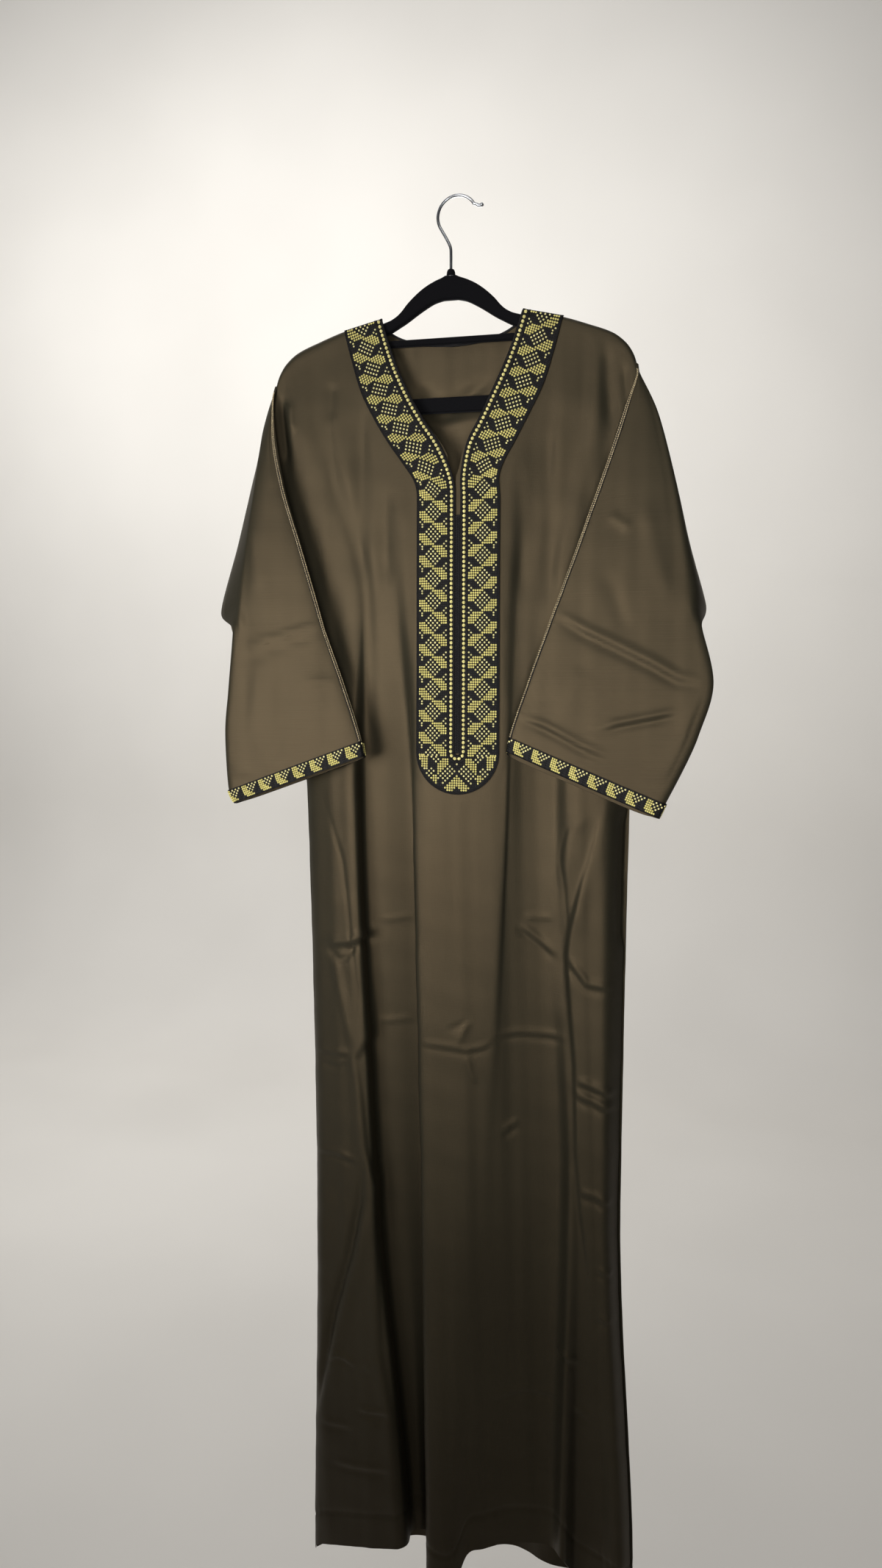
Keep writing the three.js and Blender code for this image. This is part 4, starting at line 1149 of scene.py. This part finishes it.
# ---- pockets
POCKET = [
    (-658, 0.8, 1.6), (-668, 1, 2.4), (-687, 1.25, 3.1), (-720, 1.5, 3.55), (-800, 1.82, 3.5),
    (-900, 1.95, 3.4), (-935, 1.8, 2.6), (-950, 1, 1.4),
]                            # height, reach of the left and of the right bag in folds
POCKET_START = 0.35
POCKET_EDGE = 1.9            # from the front's middle surface to the bag's, at the bag's edge
POCKET_BACK = 4.4            # and further in
POCKET_CLOTH = 0.5


def pocket(name):
    height, *reaches = np.array(POCKET, float).T
    rows = np.linspace(0, len(POCKET) - 1, 43)
    z = through(height, rows)
    reach = through(reaches[0 if name == "left" else 1], rows)
    seam = 0 if name == "left" else len(FRONT_FOLDS) - 1
    part = np.linspace(0, 1, 31)
    u = seam - OUTWARD[name] * lerp(POCKET_START, reach[:, None], part)
    grid = body_point(FRONT_FOLDS, u, np.repeat(z[:, None], len(part), 1))
    normal = grid_normals(grid)
    normal = normal * np.sign(normal[..., 1:2])
    grid = grid + normal * lerp(POCKET_EDGE, POCKET_BACK, smooth(part / 0.2))[:, None]
    return shell(f"pocket_cloth_{name}", grid, POCKET_CLOTH, FABRIC)


pockets = {name: part_of(pocket(name), "cloth", f"pocket_{name}") for name in OUTWARD}


# ---- sleeves
EDGE_REACH = 8               # how far from the over-arm seam the layers stand apart
ARMHOLE_GAP = 0.9            # between the armhole's edge and the sleeve's


def edge_depth(folds, side, z):
    x, height = np.array([armhole_x(side, z)], float), np.array([z], float)
    return -float(body_point(folds, fold_at(folds, x, height), height)[0, 1])


def sleeve_section(row, side):
    """The thirteen points of a sleeve's section, as (x, z, depth)."""
    over, under, armhole, half, gap = row
    over, under = np.array(over, float), np.array(under, float)

    def at(part, lift):
        return lerp(under, over, part) + np.array([0, 0, lift])

    inset = 1 - min(0.35, EDGE_REACH / math.hypot(*(over - under)[:2]))
    face = [at(0.14, half), at(0.5, half * 1.2), at(inset, half * 0.8), at(1, 0)]
    behind = [at(inset, -half * 0.8), at(0.5, -half), at(0.16, -half)]
    if armhole is None:
        turn = [at(0, gap), at(0, half * 0.5), at(0.035, half * 0.9)]
        rear = [at(0.035, -half * 0.9), at(0, -half * 0.5), at(0, -gap)]
    else:
        x = armhole_x(side, armhole) + side * ARMHOLE_GAP
        front_depth = edge_depth(FRONT_FOLDS, side, armhole)
        back_depth = edge_depth(BACK_FOLDS, side, armhole)
        bulge = lerp(0.6, 6.4, smooth((TIP_Z - armhole) / 110))
        turn = [(x, armhole, back_depth), (x + side * bulge, armhole, 3), under]
        rear = [at(0.1, -half), (x, armhole, front_depth + 5), (x, armhole, front_depth)]
    return np.array(turn + face + behind + rear, float)


# How far each sleeve's layer behind hangs below its front layer at the cuff, round the section.
REAR_DROP = {"left": 2.5, "right": 6.5}
REAR_SHARE = np.array([0, 0, 0, 0, 0, 0, 0.2, 1, 1, 0.9, 0.5, 0.25, 0])
SECTIONS = {}
for name, rows in (("left", SLEEVE_LEFT), ("right", SLEEVE_RIGHT)):
    SECTIONS[name] = np.array([sleeve_section(row, OUTWARD[name]) for row in rows])
    SECTIONS[name][CUFF_ROW - 1:, :, 1] -= REAR_DROP[name] * REAR_SHARE

# Places round a section, closer where it turns.
AROUND = [6, 6, 8, 22, 20, 12, 12, 20, 22, 8, 6, 6]
AROUND = [np.linspace(k, k + 1, count + 1)[:-1] for k, count in enumerate(AROUND)]
AROUND = np.concatenate(AROUND + [[LAST_KNOT]])


def sleeve_points(name, t, v):
    """The sleeve's middle surface on a grid of rows t and places v in the section."""
    result = []
    for axis in range(3):
        knots = SECTIONS[name][:, :, axis].T
        lines = np.array([monotone(np.arange(len(knot)), knot, t) for knot in knots])
        lines = np.repeat(lines[:, :, None], len(v), 2)
        result.append(through(lines, np.repeat(v[None], len(t), 0)))
    x, z, depth = result
    return np.stack([x, -depth, z], -1)


def sleeve_grid(name, t, v):
    """The sleeve's surface with its creases, which fade out above the cuff."""
    grid = sleeve_points(name, t, v)
    x, z = grid[..., 0], grid[..., 2]
    on_face = smooth((v - 2.0) / 0.8) * smooth((5.9 - v) / 0.5)
    behind = smooth((v - 6.3) / 0.5) * smooth((9.9 - v) / 0.6)
    face = creased(x, z, SLEEVE_CREASES[name]) + rippled(x, z, 0.3, 0.8)
    rear = creased(OUTWARD[name] * x, z, BEHIND_SLEEVE_CREASES) + rippled(x, z, 0.3, 2.4)
    lift = (face * on_face + rear * behind) * smooth(t / 0.6)[:, None]
    lift = lift * (1 - smooth((t - CUFF_ROW + 0.5) / 0.5))[:, None]
    return grid + OUTWARD[name] * grid_normals(grid) * lift[..., None]


def sleeve(name):
    grid = sleeve_grid(name, np.linspace(0, SLEEVE_ROWS, 193), AROUND)
    return shell(f"sleeve_cloth_{name}", grid, CLOTH, FABRIC)


CUFF_LIFT = 1.25
CUFF_OVERHANG = 0.04         # how far past the sleeve's last row the band goes, in rows
RIM = 0.45                   # height of the raised rims along the band's two edges
RIM_HALF = 0.06              # half a rim's width, as a part of the band's


def cuff(name):
    t = np.linspace(CUFF_ROW, SLEEVE_ROWS + CUFF_OVERHANG, 13)
    grid = sleeve_points(name, np.minimum(t, SLEEVE_ROWS), AROUND)
    near, far = sleeve_points(name, np.array([SLEEVE_ROWS - 0.1, SLEEVE_ROWS]), AROUND)
    beyond = (t - np.minimum(t, SLEEVE_ROWS))[:, None, None]
    grid = grid + (far - near) * beyond * 10
    part = (t - t[0]) / (t[-1] - t[0])
    rims = RIM * hump(part - RIM_HALF, RIM_HALF) + RIM * hump(part - (1 - RIM_HALF), RIM_HALF)
    grid = grid + grid_normals(grid) * OUTWARD[name] * (CUFF_LIFT + rims)[:, None, None]
    return shell(f"cuff_cloth_{name}", grid, BAND, GROUND)


CUFF_PITCH = 22
CUFF_CHART = [
    "ggg.c.c.c.",
    "gggc.c.c..",
    "ggg.c.c...",
    "gggg.c....",
    "ggggg.....",
    ".ggggg....",
]
CUFF_STITCH_LIFT = 1.6


def cuff_place(name, part):
    """The row of the sleeve at a part of the way down the cuff's band."""
    rows = np.linspace(CUFF_ROW, SLEEVE_ROWS, 61)
    grid = sleeve_points(name, rows, np.linspace(0, LAST_KNOT, 25))
    run = running(np.linalg.norm(np.diff(grid, axis=0), axis=2).mean(axis=1))
    return float(np.interp(part * run[-1], run, rows))


def cuff_stitches(name):
    """Stitches round a cuff's band, whose repeat runs the same way on both cuffs."""
    fine = np.linspace(0, LAST_KNOT, 1201)
    letters, places, along, normals = [], [], [], []
    for row, repeat in enumerate(CUFF_CHART):
        t = cuff_place(name, lerp(0.14, 0.86, row / (len(CUFF_CHART) - 1)))
        line = sleeve_points(name, np.array([t]), fine)[0]
        run = running(np.linalg.norm(np.diff(line, axis=0), axis=1))
        repeats = round(run[-1] / CUFF_PITCH)
        count = repeats * len(repeat)
        at = np.interp((np.arange(count) + 0.5) * run[-1] / count, run, fine)
        above, here, below = sleeve_points(name, np.array([t - 0.02, t, t + 0.02]), at)
        ahead = sleeve_points(name, np.array([t]), at + 0.01)[0] - here
        outward = OUTWARD[name] * unit(np.cross(ahead, below - above))
        letters += (repeat * repeats)[::-OUTWARD[name]]
        places.append(here + outward * CUFF_STITCH_LIFT)
        along.append(ahead)
        normals.append(outward)
    sew(f"cuff_stitch_{name}", letters, *map(np.concatenate, (places, along, normals)))


PIPING_LIFT = 0.9            # from the sleeve's middle surface to the strip's
PIPING = 0.7                 # thickness of the strip
CHAIN_LIFT = 0.35
CHAIN_PITCH = 2.4


def piping(name):
    """The chain-stitched piping down the over-arm seam: a strip and its two rows of chain."""
    t = np.linspace(0.75, CUFF_ROW - 0.02, 321)
    v = np.linspace(OVER_KNOT - 0.74, OVER_KNOT - 0.30, 5)
    grid = sleeve_grid(name, t, v)
    normal = grid_normals(grid) * OUTWARD[name]
    strip = grid + normal * PIPING_LIFT
    base = shell(f"piping_strip_{name}", strip, PIPING, BLACK)
    part_of(base, "piping", f"sleeve_piping_{name}")
    for row, (line, slant) in enumerate(((1, -0.45), (3, 0.45))):
        points, ahead = walk(strip[:, line], CHAIN_PITCH)
        index = np.linspace(0, len(strip) - 1, len(points)).astype(int)
        normals = normal[index, line]
        turned = ahead + slant * unit(np.cross(normals, ahead))
        chain = scatter(f"piping_chain_{name}_{row}", dome(6), points + normals * CHAIN_LIFT,
                        turned, normals, (1.35, 0.62, 0.6), BRONZE)
        part_of(chain, "piping")


sleeves, cuffs = {}, {}
for name in OUTWARD:
    sleeves[name] = part_of(sleeve(name), "cloth", f"sleeve_{name}")
    cuffs[name] = part_of(cuff(name), "embroidery", f"cuff_band_{name}")
    cuff_stitches(name)
    piping(name)


# ---- neck binding
BINDING_HALF = 73            # half the length of the binding, across the back's neck
BINDING_RADIUS = 1.5
BINDING_DROP = 1.2           # from the back's top edge to the binding's middle


def binding():
    out = np.linspace(-BINDING_HALF, BINDING_HALF, 121)
    x = HANGER_X + out
    z = back_neck_z(x)
    path = body_point(BACK_FOLDS, fold_at(BACK_FOLDS, x, z), z)
    sag = z - NECK[0, 1]
    away = unit(np.stack([out / NECK[0, 0] ** 2, 0 * out, sag / BACK_NECK_DEPTH ** 2], -1))
    return tube("binding", path - away * BINDING_DROP, BINDING_RADIUS, 12, BLACK)


part_of(binding(), "braid", "neck_binding")

# ---- the hanger
# The right half of the arms: its upper edge outwards, then its lower edge back.
HANGER_TOP = [
    (6, -81), (10, -83), (18, -86), (28, -91), (38, -98), (48, -107), (56, -116), (64, -122),
    (76, -126.5), (120, -137.5), (150, -147.5), (172, -157.5), (183, -166), (190, -178),
    (192, -196), (190, -214), (186, -226),
]
HANGER_UNDER = [
    (179, -226), (179, -207), (180, -190), (172, -177), (150, -164), (120, -153), (90, -144),
    (70, -138), (56, -131), (48, -126.5), (38, -120), (28, -114), (18, -109), (8, -106.5),
]
# The bars: distance from the middle to the ends, top, bottom, and half the depth.
UPPER_BAR = (93.5, -145.5, -152.5, 3.5)
LOWER_BAR = (179, -209, -225, 4.5)
BAR_CORNER = 2.2
FERRULE = [(1.9, 0.3), (4.6, 0.3), (4.7, 1.6), (4.4, 3.8), (3.8, 5.4), (3.1, 6.4), (1.9, 6.5)]
FERRULE_SIDES = 32
HOOK_RADIUS = 21.6
HOOK_X = 2
BALL_RADIUS = 2.2            # the rounded tip of the hook's wire


def smooth_line(points, per):
    points = np.array(points, float)
    at = np.linspace(0, len(points) - 1, (len(points) - 1) * per + 1)
    return np.stack([through(column, at) for column in points.T], -1)


def slab(name, outline, half, bevel, material):
    """A plate with rounded edges, from its outline in x and z."""
    curve = bpy.data.curves.new(name, "CURVE")
    curve.dimensions = "2D"
    curve.fill_mode = "BOTH"
    curve.extrude = (half - bevel) * MM
    curve.bevel_depth = bevel * MM
    curve.bevel_resolution = 5
    curve.offset = -bevel * MM
    spline = curve.splines.new("POLY")
    spline.points.add(len(outline) - 1)
    for point, (x, z) in zip(spline.points, outline):
        point.co = (x * MM, z * MM, 0, 1)
    spline.use_cyclic_u = True
    holder = bpy.data.objects.new(name + "_outline", curve)
    bpy.context.scene.collection.objects.link(holder)
    graph = bpy.context.evaluated_depsgraph_get()
    mesh = bpy.data.meshes.new_from_object(holder.evaluated_get(graph))
    bpy.data.objects.remove(holder)
    points = np.empty(len(mesh.vertices) * 3)
    mesh.vertices.foreach_get("co", points)
    points = points.reshape(-1, 3)[:, [0, 2, 1]] * (1, -1, 1)
    faces = [tuple(face.vertices) for face in mesh.polygons]
    return add_mesh(name, points / MM, faces, material, sharp=40)


def bar(name, sizes):
    end, top, bottom, half = sizes
    reach = end - 0.3
    outline = []
    for cx, cz, start in ((reach, top, 0), (-reach, top, 90), (-reach, bottom, 180),
                          (reach, bottom, 270)):
        x = cx - math.copysign(BAR_CORNER, cx)
        z = cz - (BAR_CORNER if cz == top else -BAR_CORNER)
        for step in range(5):
            angle = math.radians(start + step * 22.5)
            outline.append((HANGER_X + x + BAR_CORNER * math.cos(angle),
                            z + BAR_CORNER * math.sin(angle)))
    return slab(name, outline, half, 2, VELVET)


def arms():
    right = np.concatenate([smooth_line(HANGER_TOP, 5), smooth_line(HANGER_UNDER, 5)])
    outline = np.concatenate([right, (right * (-1, 1))[::-1]]) + (HANGER_X, 0)
    return slab("arms", outline, ARM_HALF, 3.4, VELVET)


def ferrule():
    """The collar at the foot of the hook."""
    profile = smooth_line(FERRULE, 3)
    turn = [2 * math.pi * k / FERRULE_SIDES for k in range(FERRULE_SIDES)]
    points = [(HANGER_X + radius * math.cos(angle), radius * math.sin(angle), HUB_Z + height)
              for radius, height in profile for angle in turn]
    return add_mesh("ferrule", points, ring_faces(len(profile), FERRULE_SIDES, True), VELVET)


def hook():
    tip = [(30.5, -9.5), (28.6, -10.4), (26.5, -10.8), (24.6, -10.5), (23, -9.3)]
    crown = []
    for degrees in range(32, 213, 9):
        angle = math.radians(degrees)
        crown.append((HOOK_X + HOOK_RADIUS * math.cos(angle),
                      WIRE_RADIUS + HOOK_RADIUS * (math.sin(angle) - 1)))
    shank = [(-9, -44), (HANGER_X - 0.5, -52), (HANGER_X, -60), (HANGER_X, -70),
             (HANGER_X, HUB_Z + 0.6)]
    line = smooth_line(tip + crown + shank, 5)
    path = np.stack([line[:, 0], 0 * line[:, 0], line[:, 1]], -1)
    from_tip = np.linalg.norm(path - path[0], axis=1)
    ball = BALL_RADIUS * np.sqrt(np.clip(1 - ((from_tip - 2.0) / 2.3) ** 2, 0, 1))
    radii = np.maximum(WIRE_RADIUS, ball)
    radii[0] = 0.7
    return tube("hook", path, radii, 20, CHROME)


part_of(arms(), "velvet", "hanger_arms")
part_of(bar("upper_bar", UPPER_BAR), "velvet", "hanger_upper_bar")
part_of(bar("lower_bar", LOWER_BAR), "velvet", "hanger_lower_bar")
part_of(ferrule(), "velvet", "hanger_ferrule")
part_of(hook(), "chrome", "hanger_hook")

# ---- stage, light and camera
FLOOR_Z = -2050
STAGE_TOP_Z = 3200
STAGE_FRONT_Y = -2600
BACKDROP_Y = 3600
STAGE_HALF = 5200
BEND = 900                   # radius of the sweep from the floor to the backdrop
BEND_STEPS = 12

# Area lights, in metres: place, target, size, power, colour and spread in degrees.
LIGHTS = {
    "key": ((0.0, -1.30, 1.15), (0.0, 0.0, -0.45), (1.3, 0.7), 2.6, (1.0, 0.97, 0.93), 90),
    "front": ((-0.95, -1.95, -0.58), (0.0, 0.0, -0.47), (1.3, 0.9), 4.7, (1.0, 0.98, 0.95), 47),
    "fill": ((0.60, -2.5, -0.80), (0.05, 0.0, -0.52), (0.8, 0.6), 1.7, (1.0, 0.99, 0.97), 40),
    "wall": ((-1.6, 1.0, 1.6), (-1.5, 3.6, -0.45), (3.6, 1.0), 124, (1.0, 0.99, 0.97), 180),
    "back": ((-0.58, 2.4, -0.5), (0.0, 0.0, -0.7), (0.9, 1.2), 7.5, (1.0, 0.98, 0.96), 60),
}
CAMERA_PLACE = (0.3044, -1.2856, -0.4946)
CAMERA_TURN = math.radians(14)
CAMERA_PITCH = math.radians(6)
LENS = 27.0                  # millimetres, on a sensor of 36


def stage():
    """A pale floor that sweeps up into a backdrop."""
    profile = [(STAGE_FRONT_Y, FLOOR_Z), (BACKDROP_Y - BEND, FLOOR_Z)]
    for step in range(1, BEND_STEPS + 1):
        angle = math.pi / 2 * step / BEND_STEPS
        profile.append((BACKDROP_Y - BEND + BEND * math.sin(angle),
                        FLOOR_Z + BEND * (1 - math.cos(angle))))
    profile.append((BACKDROP_Y, STAGE_TOP_Z))
    points = [(x, y, z) for x in (-STAGE_HALF, STAGE_HALF) for y, z in profile]
    count = len(profile)
    faces = [(k, k + 1, count + k + 1, count + k) for k in range(count - 1)]
    paint = Finish("backdrop", 0.9)
    noise = paint.noise(paint.place("Object", IN_METRES), 1.2, 2.0)
    colour = paint.ramp(noise, srgb(222, 219, 214), srgb(229, 226, 221), 0.3, 0.7)
    return add_mesh("backdrop", points, faces, paint.finish(colour))


def stand(name, data, place, rotation):
    """Puts a light or the camera in the scene."""
    holder = bpy.data.objects.new(name, data)
    holder.location = place
    holder.rotation_euler = rotation
    bpy.context.scene.collection.objects.link(holder)
    return holder


def area_light(name, place, target, size, power, colour, spread):
    light = bpy.data.lights.new(name, "AREA")
    light.shape = "RECTANGLE"
    light.size, light.size_y = size
    light.energy = power
    light.color = colour
    light.spread = math.radians(spread)
    x, y, z = np.array(target) - np.array(place)
    tilt = math.pi / 2 + math.atan2(z, math.hypot(x, y))
    stand(name, light, place, (tilt, 0.0, math.atan2(y, x) - math.pi / 2))


def camera():
    data = bpy.data.cameras.new("camera")
    data.lens = LENS
    data.sensor_width = 36.0
    data.sensor_fit = "AUTO"
    data.dof.use_dof = False
    rotation = (math.pi / 2 - CAMERA_PITCH, 0.0, CAMERA_TURN)
    bpy.context.scene.camera = stand("camera", data, CAMERA_PLACE, rotation)


def world():
    made = bpy.data.worlds.new("studio")
    made.use_nodes = True
    background = made.node_tree.nodes["Background"]
    background.inputs["Color"].default_value = srgb(226, 226, 228)
    background.inputs["Strength"].default_value = 0.08
    bpy.context.scene.world = made


bpy.context.scene.view_settings.view_transform = "Standard"
stage()
for name, values in LIGHTS.items():
    area_light(name, *values)
camera()
world()
